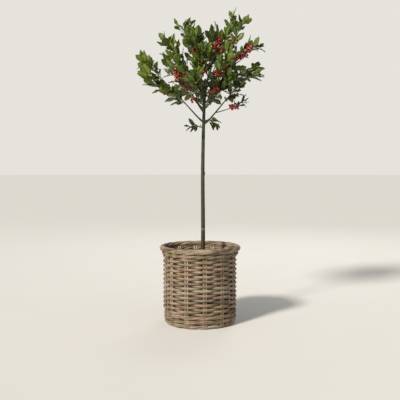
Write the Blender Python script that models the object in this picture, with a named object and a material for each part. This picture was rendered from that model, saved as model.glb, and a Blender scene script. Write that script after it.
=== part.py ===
"""Potted holly grown as a small standard: a bare stem, an open berried head and a round rattan basket.

Metres, +Z up. The origin is the middle of the basket's flat underside. +X is to the viewer's right
and -Y is towards the viewer. Headings are in degrees, 0 to the right and 90 away from the viewer.
"""
import math
import random
from collections import namedtuple

import bmesh
import bpy
from mathutils import Vector
from mathutils.bvhtree import BVHTree

# Basket
BASKET_HEIGHT = 0.287
WALL_RADIUS = 0.1325          # middle of the woven relief
WALL_THICKNESS = 0.010
WEAVE_DEPTH = 0.004           # how far a weaver stands proud in front of its stakes
STAKE_GROUPS = 12
WEAVE_ROWS = 24
WALL_SWELL = 0.0015           # the wall widens by this much above its foot
WALL_SWELL_HEIGHT = 0.100
FOOT_HEIGHT = 0.049
FOOT_ROWS = 3
FOOT_RADIUS_TOP = 0.1345
FOOT_RADIUS_BOTTOM = 0.1260
FOOT_INNER_RADIUS = 0.1180
FOOT_ROUND = 0.55             # share of its height that rounds in to the underside
WALE_HEIGHT = 0.016           # the twisted band under the border
BORDER_RADIUS = 0.140         # centre line of the rolled border
BORDER_THICKNESS = 0.020
BORDER_TWISTS = 20
BORDER_SIDES = 8
BASE_THICKNESS = 0.010
TWIST_DEPTH = 0.0018          # relief of the twisted rows

# Growing pot and soil inside the basket
LINER_HEIGHT = 0.235
LINER_RADIUS_TOP = 0.1190
LINER_RADIUS_BOTTOM = 0.1020
LINER_THICKNESS = 0.0020
LINER_LIP = 0.0030
SOIL_HEIGHT = 0.225

# Stem and boughs
STEM_OFFSET = 0.0104          # the stem stands a little right of the basket's middle
STEM_RADIUS = 0.0076
STEM_TIP_RADIUS = 0.0052
STEM_LEVELS = 13
STEM_SIDES = 12
FLARE_RADIUS = 0.0115
FLARE_HEIGHT = 0.022
FLARE_NECK = 1.06             # how much thicker the stem still is above its flare
STEM_TAPER = 1.6              # power by which it thins towards the fork
FORK_HEIGHT = 0.838
STEM_LEAN = 0.0010            # to the right over the whole height
FORK_LEAN = 0.0056            # and close under the fork
FORK_LEAN_POWER = 8
STEM_SWAY = 0.0008            # slow waves to either side
STEM_WAVES = (9.0, 7.0)       # radians over the height, seen from the front and from the side
KNOB_HEIGHT = 0.551
KNOB_SIZE = 0.0022
BOUGH_TAPER = 0.62            # tip thickness as a share of the base
BOUGH_COLLAR = 0.10           # share of its length in which a bough turns to its own way
BOUGH_BEND = 0.40             # and where it carries straight on from its parent's tip
BOUGH_STEPS = 4
BOUGH_SIDES = 6

# Shoots
SHOOT_RADIUS = 0.0023
SIDE_SHOOT_RADIUS = 0.0016
SHOOT_TAPER = 0.60
SIDE_SHOOT_TAPER = 0.70
SHOOT_BEND = 0.30             # share of its length in which a stem carries straight on
STEM_STEPS = 4
SHOOT_STEPS = 2
SHOOT_EVERY = 3               # a side shoot from every third leaf
TWIG_SIDES = 3
SIDE_WAY = (0.75, 0.85, 0.25)         # a side shoot's way: along its parent, outwards and up
SIDE_LENGTHS = (1.1, 0.7)             # its length at the foot and at the tip of its parent
SIDE_LENGTH_STRAY = 0.15
SIDE_HANDLE = (0.35, 0.90, 0.0)       # the way that it sets out in
SIDE_HANDLE_REACH = 0.4

# Leaves
LEAF_LENGTH = 0.053
LEAF_WIDTH_SHARE = 0.50
LEAF_WIDEST = 0.54            # share of its length where a leaf is widest
LEAF_FOLD = 0.20              # rise of its edges over its middle, as a share of its half width
LEAF_DROOP = 0.07             # fall of its tip, as a share of its length
LEAF_THICKNESS = 0.0014
LEAF_CREST = 0.48             # share of its length where it is thickest
LEAF_CREST_RISE = 0.45        # share of its thickness over the middle, the rest is under it
LEAF_FOOT = 0.3               # share of the way to its crest where it has left the twig
LEAF_SPACING = 0.0165         # from one leaf to the next along a twig
LEAF_TURN = math.radians(137.5)
LEAF_TURN_STRAY = 0.25
LEAF_PITCH = (64.0, 30.0)     # degrees off the shoot, at its foot and at its tip
LEAF_PITCH_STRAY = 10.0
LEAF_STRAY = 0.12             # how far a leaf's way wanders
LEAF_TILT = 0.60              # and the way its upper side faces
LEAF_TRIES = 9
LEAF_TURN_AGAIN = 0.35        # the most that each new try turns it round the twig
LEAF_SHRINK = 0.03            # and makes it smaller
LEAF_SIZES = (0.84, 1.12)
LEAF_FACE = (0.30, 0.45, 0.50)        # its upper side faces: along the twig, outwards and up
LEAF_FIRST = (0.8, 0.6)       # spacings left free at the foot of a shoot, and in all
TIP_LEAVES = 2
TIP_SPACING = 0.0035

# Berries
BERRY_RADIUS = 0.0045
BERRY_GROUP = 3
BERRY_TURN = 2.1              # round the twig from one berry to the next
BERRY_FIRST_TURN = 1.0        # from the leaf to the first berry
BERRY_SEAT = 0.9              # of its radius, from the twig's middle to its own
BERRY_STEP = 1.25             # of its radius, from one berry to the next down the twig
BERRY_APART = 2.1             # of its radius, between two of them
BERRY_TOP = 0.93              # none stand past this share of a shoot
BERRY_GAP = 0.0005            # from a berry to the nearest leaf

CLEARANCE = 0.0003            # between pieces that touch
KEEP_APART = 0.0022           # between the spaces of two masses of foliage
LIMB_MARGIN = 0.0010          # from a leaf or twig to the nearest limb
TWIG_MARGIN = 0.0020          # round a side shoot, inside its mass's space
DRAW = 1                      # the seeded rule's draw
FULL_TURN = 2.0 * math.pi
UP = Vector((0.0, 0.0, 1.0))

# Boughs: what carries each, how far along it, heading, rise, length and thickness at the base
Bough = namedtuple("Bough", "carrier share heading rise length thickness")
BOUGHS = {
    "left_low_bough": Bough("trunk", 0.845, 190, 42, 0.078, 0.0072),
    "right_low_bough": Bough("trunk", 0.832, 345, 44, 0.100, 0.0072),
    "front_bough": Bough("trunk", 0.872, 266, 40, 0.080, 0.0070),
    "back_bough": Bough("trunk", 0.884, 88, 38, 0.080, 0.0070),
    "left_mid_bough": Bough("trunk", 0.905, 207, 50, 0.070, 0.0064),
    "right_mid_bough": Bough("trunk", 0.925, 24, 46, 0.070, 0.0064),
    "left_leader": Bough("trunk", 0.968, 187, 74, 0.085, 0.0066),
    "right_leader": Bough("trunk", 1.0, 10, 76, 0.092, 0.0082),
    "right_sprig_bough": Bough("right_low_bough", 0.60, 330, 10, 0.060, 0.0040),
    "right_upper_bough": Bough("right_leader", 0.30, 345, 46, 0.056, 0.0060),
    "front_left_bough": Bough("front_bough", 0.50, 206, 40, 0.048, 0.0048),
    "front_right_bough": Bough("front_bough", 0.72, 316, 44, 0.052, 0.0048),
    "back_left_bough": Bough("back_bough", 0.50, 142, 40, 0.048, 0.0048),
    "back_right_bough": Bough("back_bough", 0.72, 44, 40, 0.052, 0.0048),
    "left_upper_bough": Bough("left_leader", 0.52, 200, 46, 0.040, 0.0046),
    "front_middle_bough": Bough("left_leader", 0.30, 275, 52, 0.050, 0.0046),
    "front_top_bough": Bough("left_leader", 0.76, 282, 55, 0.048, 0.0046),
    "front_upper_bough": Bough("right_leader", 0.46, 284, 50, 0.050, 0.0046),
    "back_top_bough": Bough("right_leader", 0.74, 110, 52, 0.048, 0.0046),
    "top_right_bough": Bough("right_leader", 0.62, 8, 60, 0.060, 0.0050),
    "right_top_bough": Bough("right_upper_bough", 0.62, 355, 54, 0.056, 0.0046),
}

# Masses of foliage: what carries each, how far along it, heading, rise and length of its stem,
# length of its side shoots, number of berries, size of its leaves, how much they lift to the
# light, and the share of the stem's tip that is bare
Mass = namedtuple("Mass", "carrier share heading rise length shoots berries size lift bare_tip",
                  defaults=(1.0, 0.20, 0.0))
MASSES = {
    "left_long_foliage": Mass("left_low_bough", 1.0, 191, 45, 0.205, 0.062, 3, 1.05, 0.10),
    "left_mid_foliage": Mass("left_mid_bough", 1.0, 196, 50, 0.140, 0.050, 5),
    "left_upper_foliage": Mass("left_upper_bough", 1.0, 186, 60, 0.138, 0.050, 2, 1.0, 0.25),
    "top_left_foliage": Mass("left_leader", 1.0, 160, 73, 0.182, 0.045, 2, 0.95),
    "front_top_foliage": Mass("front_top_bough", 1.0, 236, 66, 0.120, 0.050, 4),
    "front_upper_foliage": Mass("front_upper_bough", 1.0, 318, 64, 0.110, 0.048, 5),
    "front_middle_foliage": Mass("front_middle_bough", 1.0, 268, 50, 0.110, 0.050, 5),
    "top_middle_foliage": Mass("right_leader", 1.0, 60, 82, 0.130, 0.045, 2, 0.95),
    "top_right_foliage": Mass("top_right_bough", 1.0, 16, 70, 0.229, 0.040, 3, 0.85, 0.20, 0.26),
    "right_top_foliage": Mass("right_top_bough", 1.0, 355, 66, 0.165, 0.045, 3, 0.95, 0.30),
    "right_upper_foliage": Mass("right_upper_bough", 1.0, 355, 37, 0.166, 0.050, 9, 0.95, 0.10),
    "right_mid_foliage": Mass("right_mid_bough", 1.0, 5, 32, 0.165, 0.045, 1, 0.95),
    "right_low_foliage": Mass("right_low_bough", 1.0, 335, 46, 0.080, 0.034, 0, 0.75, 0.10),
    "right_sprig_foliage": Mass("right_sprig_bough", 1.0, 344, 28, 0.050, 0.0, 2, 0.5, 0.30),
    "front_left_foliage": Mass("front_left_bough", 1.0, 216, 48, 0.135, 0.050, 5, 1.05),
    "front_right_foliage": Mass("front_right_bough", 1.0, 306, 50, 0.130, 0.050, 4, 1.05),
    "front_low_foliage": Mass("front_bough", 1.0, 254, 30, 0.110, 0.050, 1, 1.0, 0.15),
    "back_low_foliage": Mass("back_bough", 1.0, 88, 26, 0.120, 0.050, 1, 1.0, 0.15),
    "back_left_foliage": Mass("back_left_bough", 1.0, 150, 46, 0.150, 0.050, 1),
    "back_right_foliage": Mass("back_right_bough", 1.0, 32, 46, 0.150, 0.050, 2),
    "back_top_foliage": Mass("back_top_bough", 1.0, 112, 62, 0.130, 0.050, 1),
    "lower_left_foliage": Mass("trunk", 0.808, 196, 12, 0.030, 0.0, 0, 0.75, -0.25),
    "lower_right_foliage": Mass("trunk", 0.848, 310, 0, 0.042, 0.0, 0, 0.75, -0.55),
    "inner_left_foliage": Mass("trunk", 0.938, 240, 44, 0.072, 0.035, 0, 0.85, 0.10),
    "inner_right_foliage": Mass("trunk", 0.952, 306, 44, 0.072, 0.035, 1, 0.85, 0.10),
    "inner_back_foliage": Mass("trunk", 0.945, 130, 44, 0.072, 0.035, 0, 0.85, 0.10),
}

# Places seen from the front where sky shows through the head: x, z and radius
SKY_GAPS = (
    (-0.112, 0.902, 0.024),
    (0.137, 0.950, 0.013),
    (-0.034, 0.843, 0.013),
)


def clear_scene():
    for item in list(bpy.data.objects):
        bpy.data.objects.remove(item, do_unlink=True)


def surface(name, colour, roughness):
    """A plain surface in one linear colour."""
    material = bpy.data.materials.new(name)
    material.use_nodes = True
    shader = material.node_tree.nodes["Principled BSDF"]
    shader.inputs["Base Color"].default_value = (*colour, 1.0)
    shader.inputs["Roughness"].default_value = roughness
    shader.inputs["Metallic"].default_value = 0.0
    return material


def add_object(name, bm, material, smooth=False):
    """Turn a bmesh into a named object of the model."""
    bmesh.ops.recalc_face_normals(bm, faces=bm.faces)
    mesh = bpy.data.meshes.new(name)
    bm.to_mesh(mesh)
    bm.free()
    mesh.materials.append(material)
    if smooth:
        mesh.shade_smooth()
    item = bpy.data.objects.new(name, mesh)
    bpy.context.scene.collection.objects.link(item)
    return item


def direction_of(heading, rise):
    """Unit vector from a heading and a rise above level, both in degrees."""
    turn = math.radians(heading)
    lift = math.radians(rise)
    return Vector((math.cos(lift) * math.cos(turn), math.cos(lift) * math.sin(turn), math.sin(lift)))


def skin_rings(bm, rings, closed=False):
    """Faces between rings of vertices, with a flat cap on both ends unless the rings close."""
    pairs = list(zip(rings, rings[1:]))
    if closed:
        pairs.append((rings[-1], rings[0]))
    for low, high in pairs:
        count = len(low)
        for i in range(count):
            j = (i + 1) % count
            bm.faces.new((low[i], low[j], high[j], high[i]))
    if not closed:
        bm.faces.new(list(reversed(rings[0])))
        bm.faces.new(rings[-1])


def level_ring(bm, radii, height, centre=(0.0, 0.0)):
    """One level ring of vertices, with a radius for each."""
    count = len(radii)
    ring = []
    for i, radius in enumerate(radii):
        angle = FULL_TURN * i / count
        x = centre[0] + radius * math.cos(angle)
        y = centre[1] + radius * math.sin(angle)
        ring.append(bm.verts.new((x, y, height)))
    return ring


def blend(start, end, share):
    return start + (end - start) * share


# Basket

def rattan():
    return surface("grey rattan", (0.30, 0.23, 0.15), 0.65)


def wall_radius(height):
    """The woven wall swells gently above its foot."""
    share = min(1.0, (height - FOOT_HEIGHT) / WALL_SWELL_HEIGHT)
    return blend(WALL_RADIUS - WALL_SWELL, WALL_RADIUS, share)


def basket_wall():
    """Plain weave: each row passes in front of every other group of stakes and behind the rest."""
    bm = bmesh.new()
    low = FOOT_HEIGHT + CLEARANCE
    high = BASKET_HEIGHT - BORDER_THICKNESS - WALE_HEIGHT
    pitch = (high - low) / WEAVE_ROWS
    count = 2 * STAKE_GROUPS
    rings = [level_ring(bm, [wall_radius(low) - WALL_THICKNESS] * count, low)]
    rings.append(level_ring(bm, [wall_radius(low)] * count, low))
    for row in range(WEAVE_ROWS):
        middle = low + (row + 0.5) * pitch
        wave = []
        for i in range(count):
            proud = 0 if i % 2 else (1 if (i // 2 + row) % 2 else -1)
            wave.append(wall_radius(middle) + WEAVE_DEPTH * proud)
        rings.append(level_ring(bm, wave, middle))
    rings.append(level_ring(bm, [wall_radius(high)] * count, high))
    rings.append(level_ring(bm, [wall_radius(high) - WALL_THICKNESS] * count, high))
    skin_rings(bm, rings, closed=True)
    return add_object("basket_wall", bm, rattan())


def twisted_band(name, low, high, rows, outer, inner):
    """A ring of twisted rows, outer giving the radius at a share of the height."""
    bm = bmesh.new()
    count = 2 * STAKE_GROUPS
    pitch = (high - low) / rows
    rings = [level_ring(bm, [inner] * count, low)]
    for row in range(rows):
        edge = row / rows
        middle = (row + 0.5) / rows
        groove = 0.0 if row == 0 else TWIST_DEPTH
        rings.append(level_ring(bm, [outer(edge) - groove] * count, low + row * pitch))
        wave = []
        for i in range(count):
            proud = 1 if (i + row) % 2 else -1
            wave.append(outer(middle) + TWIST_DEPTH * proud)
        rings.append(level_ring(bm, wave, low + (row + 0.5) * pitch))
    rings.append(level_ring(bm, [outer(1.0) - TWIST_DEPTH] * count, high))
    rings.append(level_ring(bm, [inner] * count, high))
    skin_rings(bm, rings, closed=True)
    return add_object(name, bm, rattan())


def foot_radius(share):
    """The foot turns in to its flat underside along a quarter round."""
    turn = math.pi / 2.0 * min(1.0, share / FOOT_ROUND)
    return blend(FOOT_RADIUS_BOTTOM, FOOT_RADIUS_TOP, math.sin(turn))


def basket_foot():
    return twisted_band("basket_foot", 0.0, FOOT_HEIGHT, FOOT_ROWS, foot_radius, FOOT_INNER_RADIUS)


def upper_band_radius(share):
    """The twisted band widens to carry the border."""
    return blend(WALL_RADIUS + WEAVE_DEPTH, BORDER_RADIUS + 2.0 * TWIST_DEPTH, share)


def basket_upper_band():
    high = BASKET_HEIGHT - BORDER_THICKNESS - CLEARANCE
    low = BASKET_HEIGHT - BORDER_THICKNESS - WALE_HEIGHT + CLEARANCE
    inner = WALL_RADIUS - WALL_THICKNESS
    return twisted_band("basket_upper_band", low, high, 1, upper_band_radius, inner)


def basket_border():
    """The stakes end in a rolled border, twisted like a rope around the top."""
    bm = bmesh.new()
    steps = 2 * BORDER_TWISTS
    middle = BASKET_HEIGHT - BORDER_THICKNESS / 2.0
    rings = []
    for step in range(steps):
        angle = FULL_TURN * step / steps
        ring = []
        for side in range(BORDER_SIDES):
            around = FULL_TURN * side / BORDER_SIDES
            lobe = math.cos(2.0 * around - BORDER_TWISTS * angle)
            radius = BORDER_THICKNESS / 2.0 - TWIST_DEPTH / 2.0 * (1.0 - lobe)
            reach = BORDER_RADIUS + radius * math.cos(around)
            spot = (reach * math.cos(angle), reach * math.sin(angle), middle + radius * math.sin(around))
            ring.append(bm.verts.new(spot))
        rings.append(ring)
    skin_rings(bm, rings, closed=True)
    return add_object("basket_border", bm, rattan(), smooth=True)


def basket_base():
    bm = bmesh.new()
    count = 2 * STAKE_GROUPS
    radius = FOOT_INNER_RADIUS - CLEARANCE
    rings = [level_ring(bm, [radius] * count, height) for height in (0.0, BASE_THICKNESS)]
    skin_rings(bm, rings)
    return add_object("basket_base", bm, rattan())


# Growing pot and soil

def growing_pot():
    """Thin black pot that stands on the basket's base and holds the soil."""
    bm = bmesh.new()
    count = 2 * STAKE_GROUPS
    bottom = BASE_THICKNESS + CLEARANCE
    lip = LINER_HEIGHT - LINER_LIP
    profile = (
        (LINER_RADIUS_BOTTOM, bottom),
        (LINER_RADIUS_TOP - LINER_LIP, lip),
        (LINER_RADIUS_TOP, lip),
        (LINER_RADIUS_TOP, LINER_HEIGHT),
        (LINER_RADIUS_TOP - LINER_LIP - LINER_THICKNESS, LINER_HEIGHT),
        (LINER_RADIUS_BOTTOM - LINER_THICKNESS, bottom + LINER_THICKNESS),
    )
    rings = [level_ring(bm, [radius] * count, height) for radius, height in profile]
    skin_rings(bm, rings)
    return add_object("growing_pot", bm, surface("black plastic", (0.02, 0.02, 0.02), 0.7))


def soil():
    bm = bmesh.new()
    count = 2 * STAKE_GROUPS
    bottom = BASE_THICKNESS + LINER_THICKNESS + 2.0 * CLEARANCE
    inner_top = LINER_RADIUS_TOP - LINER_LIP - LINER_THICKNESS
    inner_bottom = LINER_RADIUS_BOTTOM - LINER_THICKNESS
    share = (SOIL_HEIGHT - bottom) / (LINER_HEIGHT - bottom)
    top_radius = blend(inner_bottom, inner_top, share) - 2.0 * CLEARANCE
    rings = [
        level_ring(bm, [inner_bottom - 2.0 * CLEARANCE] * count, bottom),
        level_ring(bm, [top_radius] * count, SOIL_HEIGHT),
    ]
    skin_rings(bm, rings)
    return add_object("soil", bm, surface("dark compost", (0.035, 0.022, 0.013), 0.95))


# Limbs: a path is a list of points with a radius at each

def limb_frames(points, first=None):
    """A direction at each point, and two square directions that turn as little as they can."""
    frames = []
    across = None
    for i, point in enumerate(points):
        before = points[max(0, i - 1)]
        after = points[min(len(points) - 1, i + 1)]
        ahead = (after - before).normalized()
        if i == 0 and first is not None:
            ahead = first
        if across is None:
            across = ahead.orthogonal().normalized()
        across = (across - ahead * across.dot(ahead)).normalized()
        frames.append((ahead, across, ahead.cross(across)))
    return frames


def limb_mesh(bm, points, radii, sides, first=None):
    """A tapering limb with flat ends."""
    rings = []
    for point, radius, frame in zip(points, radii, limb_frames(points, first)):
        ring = []
        for side in range(sides):
            angle = FULL_TURN * side / sides
            spoke = frame[1] * math.cos(angle) + frame[2] * math.sin(angle)
            ring.append(bm.verts.new(point + spoke * radius))
        rings.append(ring)
    skin_rings(bm, rings)


def on_path(points, share):
    """Point and direction at a share of a path's length."""
    lengths = [(b - a).length for a, b in zip(points, points[1:])]
    left = share * sum(lengths)
    for a, b, length in zip(points, points[1:], lengths):
        if left <= length:
            return a.lerp(b, left / length), (b - a).normalized()
        left -= length
    return points[-1].copy(), (points[-1] - points[-2]).normalized()


def radius_on(points, radii, share):
    """Radius at a share of a path's length."""
    lengths = [(b - a).length for a, b in zip(points, points[1:])]
    left = share * sum(lengths)
    for low, high, length in zip(radii, radii[1:], lengths):
        if left <= length:
            return blend(low, high, left / length)
        left -= length
    return radii[-1]


def curve(start, handle, end, steps):
    """Points along a simple bend."""
    points = []
    for i in range(steps + 1):
        t = i / steps
        points.append(start * (1 - t) ** 2 + handle * 2 * t * (1 - t) + end * t ** 2)
    return points


def taper(base, share, points):
    """Radii that fall evenly from the base to a share of it at the tip."""
    last = len(points) - 1
    return [blend(base, base * share, i / last) for i in range(last + 1)]


def bark():
    return surface("green bark", (0.075, 0.078, 0.030), 0.75)


def trunk_path():
    """The stem rises almost straight, with a slow lean to the right near its fork."""
    low = SOIL_HEIGHT + CLEARANCE
    points = []
    radii = []
    for i in range(STEM_LEVELS):
        share = i / (STEM_LEVELS - 1)
        height = blend(low, FORK_HEIGHT, share)
        lean = STEM_LEAN * share + FORK_LEAN * share ** FORK_LEAN_POWER
        sway = [STEM_SWAY * math.sin(waves * share) for waves in STEM_WAVES]
        points.append(Vector((STEM_OFFSET + lean + sway[0], sway[1], height)))
        radii.append(blend(STEM_RADIUS, STEM_TIP_RADIUS, share ** STEM_TAPER))
    flare = points[0].lerp(points[1], FLARE_HEIGHT / (points[1].z - low))
    points.insert(1, flare)
    radii.insert(1, STEM_RADIUS * FLARE_NECK)
    radii[0] = FLARE_RADIUS
    return points, radii


def trunk():
    """The bare stem, with its root flare, its flat cut on the soil and one healed knob."""
    bm = bmesh.new()
    points, radii = LIMBS["trunk"]
    limb_mesh(bm, points, radii, STEM_SIDES, UP)
    near = min(points, key=lambda point: abs(point.z - KNOB_HEIGHT))
    level = [vert for vert in bm.verts if abs(vert.co.z - near.z) < STEM_RADIUS]
    knob = max(level, key=lambda vert: vert.co.x)
    knob.co.x += KNOB_SIZE
    return add_object("trunk", bm, bark(), smooth=True)


def leave_side(parent, share, way):
    """Where a limb leaves its parent's side or tip, and which way its first flat end faces."""
    points, radii = LIMBS[parent]
    spot, along = on_path(points, share)
    if share >= 1.0:
        return spot + along * CLEARANCE, along, spot
    out = (way - along * way.dot(along)).normalized()
    return spot + out * (radius_on(points, radii, share) + CLEARANCE), out, spot


def bough_path(name):
    """One tapering limb that leaves square to its parent and turns at once to its own way."""
    row = BOUGHS[name]
    way = direction_of(row.heading, row.rise)
    start, out, centre = leave_side(row.carrier, row.share, way)
    end = centre + way * row.length
    if row.share >= 1.0:
        handle = start + out * BOUGH_BEND * row.length
    else:
        handle = start + (out + way).normalized() * BOUGH_COLLAR * row.length
    points = curve(start, handle, end, BOUGH_STEPS)
    return points, taper(row.thickness / 2.0, BOUGH_TAPER, points)


def bough(name):
    bm = bmesh.new()
    points, radii = LIMBS[name]
    row = BOUGHS[name]
    first = leave_side(row.carrier, row.share, direction_of(row.heading, row.rise))[1]
    limb_mesh(bm, points, radii, BOUGH_SIDES, first)
    return add_object(name, bm, bark(), smooth=True)


LIMBS = {}


def lay_out_limbs():
    LIMBS["trunk"] = trunk_path()
    for name in BOUGHS:
        LIMBS[name] = bough_path(name)


# Foliage: each mass grows from one stem and keeps to the space nearer to it than to any other

STEMS = {}


def stem_path(name):
    """The stem carries on from its bough's tip, or leaves the trunk's side, and bends to its way."""
    row = MASSES[name]
    way = direction_of(row.heading, row.rise)
    start, out = leave_side(row.carrier, row.share, way)[:2]
    handle = start + out * SHOOT_BEND * row.length
    return curve(start, handle, start + way * row.length, STEM_STEPS)


def lay_out_stems():
    for name in MASSES:
        STEMS[name] = stem_path(name)


def distance_to(point, path):
    """Shortest distance from a point to a path."""
    best = math.inf
    for a, b in zip(path, path[1:]):
        span = b - a
        share = (point - a).dot(span) / span.length_squared
        share = max(0.0, min(1.0, share))
        best = min(best, (point - a - span * share).length)
    return best


def has_room(name, point, margin):
    """True where a ball keeps to the mass's own space, clear of limbs and of the sky gaps."""
    for x, z, radius in SKY_GAPS:
        if math.hypot(point.x - x, point.z - z) < radius:
            return False
    own = distance_to(point, STEMS[name])
    for other, path in STEMS.items():
        if other != name and distance_to(point, path) < own + KEEP_APART + 2.0 * margin:
            return False
    for points, radii in LIMBS.values():
        if distance_to(point, points) < max(radii[1:]) + margin + LIMB_MARGIN:
            return False
    return True


def leaf_points(root, way, face, length):
    """Root, both sides, tip, top and underside of one kite-shaped leaf, folded along its middle."""
    across = way.cross(face)
    half = LEAF_WIDTH_SHARE * length / 2.0
    middle = root + way * LEAF_WIDEST * length
    fold = face * LEAF_FOLD * half
    tip = root + way * length - face * LEAF_DROOP * length
    centre = root + way * LEAF_CREST * length
    top = centre + face * LEAF_CREST_RISE * LEAF_THICKNESS
    under = centre - face * (1.0 - LEAF_CREST_RISE) * LEAF_THICKNESS
    return root, middle + across * half + fold, middle - across * half + fold, tip, top, under


def blade_tree(corners):
    """The leaf's outline, short of its root, as a surface that can be tested against others."""
    root, left, right, tip, top, under = corners
    foot = root.lerp(top, LEAF_FOOT)
    return BVHTree.FromPolygons([foot, left, tip, right], [(0, 1, 2), (0, 2, 3)])


def leaf_fits(name, plan, corners):
    """True where a leaf keeps to its space and crosses no leaf, twig or berry of its own mass."""
    root, left, right, tip, top, under = corners
    tests = [tip, left, right, top, top.lerp(tip, 0.5)]
    tests += [left.lerp(tip, 0.5), right.lerp(tip, 0.5), left.lerp(root, 0.5), right.lerp(root, 0.5)]
    if not all(has_room(name, point, 0.0) for point in tests):
        return False
    tree = blade_tree(corners)
    for centre in plan["berries"]:
        if tree.find_nearest(centre, BERRY_RADIUS + BERRY_GAP)[0] is not None:
            return False
    return not any(tree.overlap(other) for other in plan["trees"])


def weigh(shares, first, second, third):
    return first * shares[0] + second * shares[1] + third * shares[2]


def any_way(rng, size):
    return Vector([rng.uniform(-size, size) for axis in range(3)])


def leaf_pose(rng, spot, along, side, pitch, lift):
    """A leaf's way and the way its upper side faces: up, outwards and a little at random."""
    way = along * math.cos(pitch) + side * math.sin(pitch) + UP * lift + any_way(rng, LEAF_STRAY)
    way.normalize()
    outwards = Vector((spot.x - STEM_OFFSET, spot.y, 0.0)).normalized()
    face = weigh(LEAF_FACE, along, outwards, UP) + any_way(rng, LEAF_TILT)
    face -= way * face.dot(way)
    return way, face.normalized()


def shoot_nodes(plan, rng, points, bare, turn):
    """The places up a shoot where leaves stand, by the spiral rule, closer together at its tip."""
    total = sum((b - a).length for a, b in zip(points, points[1:])) * (1.0 - bare)
    steps = max(2, round(total / LEAF_SPACING))
    nodes = []
    for step in range(steps + TIP_LEAVES):
        if step < steps:
            share = (step + LEAF_FIRST[0]) / (steps + LEAF_FIRST[1])
        else:
            share = 1.0 - TIP_SPACING * (steps + TIP_LEAVES - step - 0.5) / total
        spot, along = on_path(points, share * (1.0 - bare))
        across = along.orthogonal().normalized()
        turn += LEAF_TURN + rng.uniform(-LEAF_TURN_STRAY, LEAF_TURN_STRAY)
        side = across * math.cos(turn) + along.cross(across) * math.sin(turn)
        nodes.append((spot, along, side, share))
    plan["nodes"] += nodes
    return nodes, steps


def side_shoot(name, rng, node, length):
    """A side shoot from a leaf's foot, left out where it would leave its mass's space."""
    spot, along, side, share = node
    way = weigh(SIDE_WAY, along, side, UP).normalized()
    stray = rng.uniform(1.0 - SIDE_LENGTH_STRAY, 1.0 + SIDE_LENGTH_STRAY)
    reach = length * blend(*SIDE_LENGTHS, share) * stray
    handle = spot + weigh(SIDE_HANDLE, along, side, UP).normalized() * reach * SIDE_HANDLE_REACH
    points = curve(spot, handle, spot + way * reach, SHOOT_STEPS)
    if not all(has_room(name, point, TWIG_MARGIN) for point in points[1:]):
        return None
    return points, taper(SIDE_SHOOT_RADIUS, SIDE_SHOOT_TAPER, points)


def twig_tree(points):
    """A twig's middle line as a thin ribbon that leaves can be tested against."""
    sideways = (points[-1] - points[0]).orthogonal().normalized() * SIDE_SHOOT_RADIUS
    corners = [point + sideways * way for point in points for way in (-1, 1)]
    strips = [(2 * i, 2 * i + 1, 2 * i + 3, 2 * i + 2) for i in range(len(points) - 1)]
    return BVHTree.FromPolygons(corners, strips)


def place_berries(name, plan, rng, count):
    """Berries sit close against the twigs, up to three together, turned round the twig."""
    spots = [node for node in plan["nodes"] if node[3] < BERRY_TOP]
    rng.shuffle(spots)
    for spot, along, side, share in spots:
        for i in range(BERRY_GROUP):
            if len(plan["berries"]) == count:
                return
            turn = BERRY_FIRST_TURN + i * BERRY_TURN
            spoke = side * math.cos(turn) + along.cross(side) * math.sin(turn)
            down = BERRY_SEAT + BERRY_STEP * i
            centre = spot + (spoke * BERRY_SEAT - along * down) * BERRY_RADIUS
            gaps = [(centre - other).length for other in plan["berries"]]
            near = min(gaps, default=math.inf) < BERRY_APART * BERRY_RADIUS
            if not near and has_room(name, centre, BERRY_RADIUS):
                plan["berries"].append(centre)


def place_leaves(name, plan, rng):
    """One leaf at each node: it is turned, raised or made smaller until it fits, or left out."""
    row = MASSES[name]
    for spot, along, side, share in plan["nodes"]:
        for attempt in range(LEAF_TRIES):
            pitch = blend(*LEAF_PITCH, share) + rng.uniform(-LEAF_PITCH_STRAY, LEAF_PITCH_STRAY)
            turn = rng.uniform(-LEAF_TURN_AGAIN, LEAF_TURN_AGAIN) * attempt
            spoke = side * math.cos(turn) + along.cross(side) * math.sin(turn)
            way, face = leaf_pose(rng, spot, along, spoke, math.radians(pitch), row.lift)
            length = LEAF_LENGTH * row.size * rng.uniform(*LEAF_SIZES) * (1.0 - LEAF_SHRINK * attempt)
            corners = leaf_points(spot, way, face, length)
            if leaf_fits(name, plan, corners):
                plan["leaves"].append(corners)
                plan["trees"].append(blade_tree(corners))
                break


def plan_mass(name):
    """Every twig, leaf and berry of one mass, by the seeded rule."""
    row = MASSES[name]
    rng = random.Random(f"{name} {DRAW}")
    plan = {"twigs": [], "leaves": [], "nodes": [], "berries": [], "trees": []}
    stem = STEMS[name]
    plan["twigs"].append((stem, taper(SHOOT_RADIUS, SHOOT_TAPER, stem)))
    nodes, steps = shoot_nodes(plan, rng, stem, row.bare_tip, rng.uniform(0.0, FULL_TURN))
    for node in nodes[1:steps:SHOOT_EVERY]:
        shoot = side_shoot(name, rng, node, row.shoots) if row.shoots else None
        if shoot:
            plan["twigs"].append(shoot)
            plan["trees"].append(twig_tree(shoot[0][1:]))
            shoot_nodes(plan, rng, shoot[0], 0.0, rng.uniform(0.0, FULL_TURN))
    place_berries(name, plan, rng, row.berries)
    place_leaves(name, plan, rng)
    return plan


def leaf_object(corners, material):
    bm = bmesh.new()
    root, left, right, tip, top, under = [bm.verts.new(corner) for corner in corners]
    for low, high in ((root, left), (left, tip), (tip, right), (right, root)):
        bm.faces.new((low, high, top))
        bm.faces.new((high, low, under))
    return add_object("leaf", bm, material)


def berry_object(centre, material):
    bm = bmesh.new()
    bmesh.ops.create_icosphere(bm, subdivisions=1, radius=BERRY_RADIUS)
    bmesh.ops.translate(bm, verts=bm.verts, vec=centre)
    return add_object("berry", bm, material)


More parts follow.
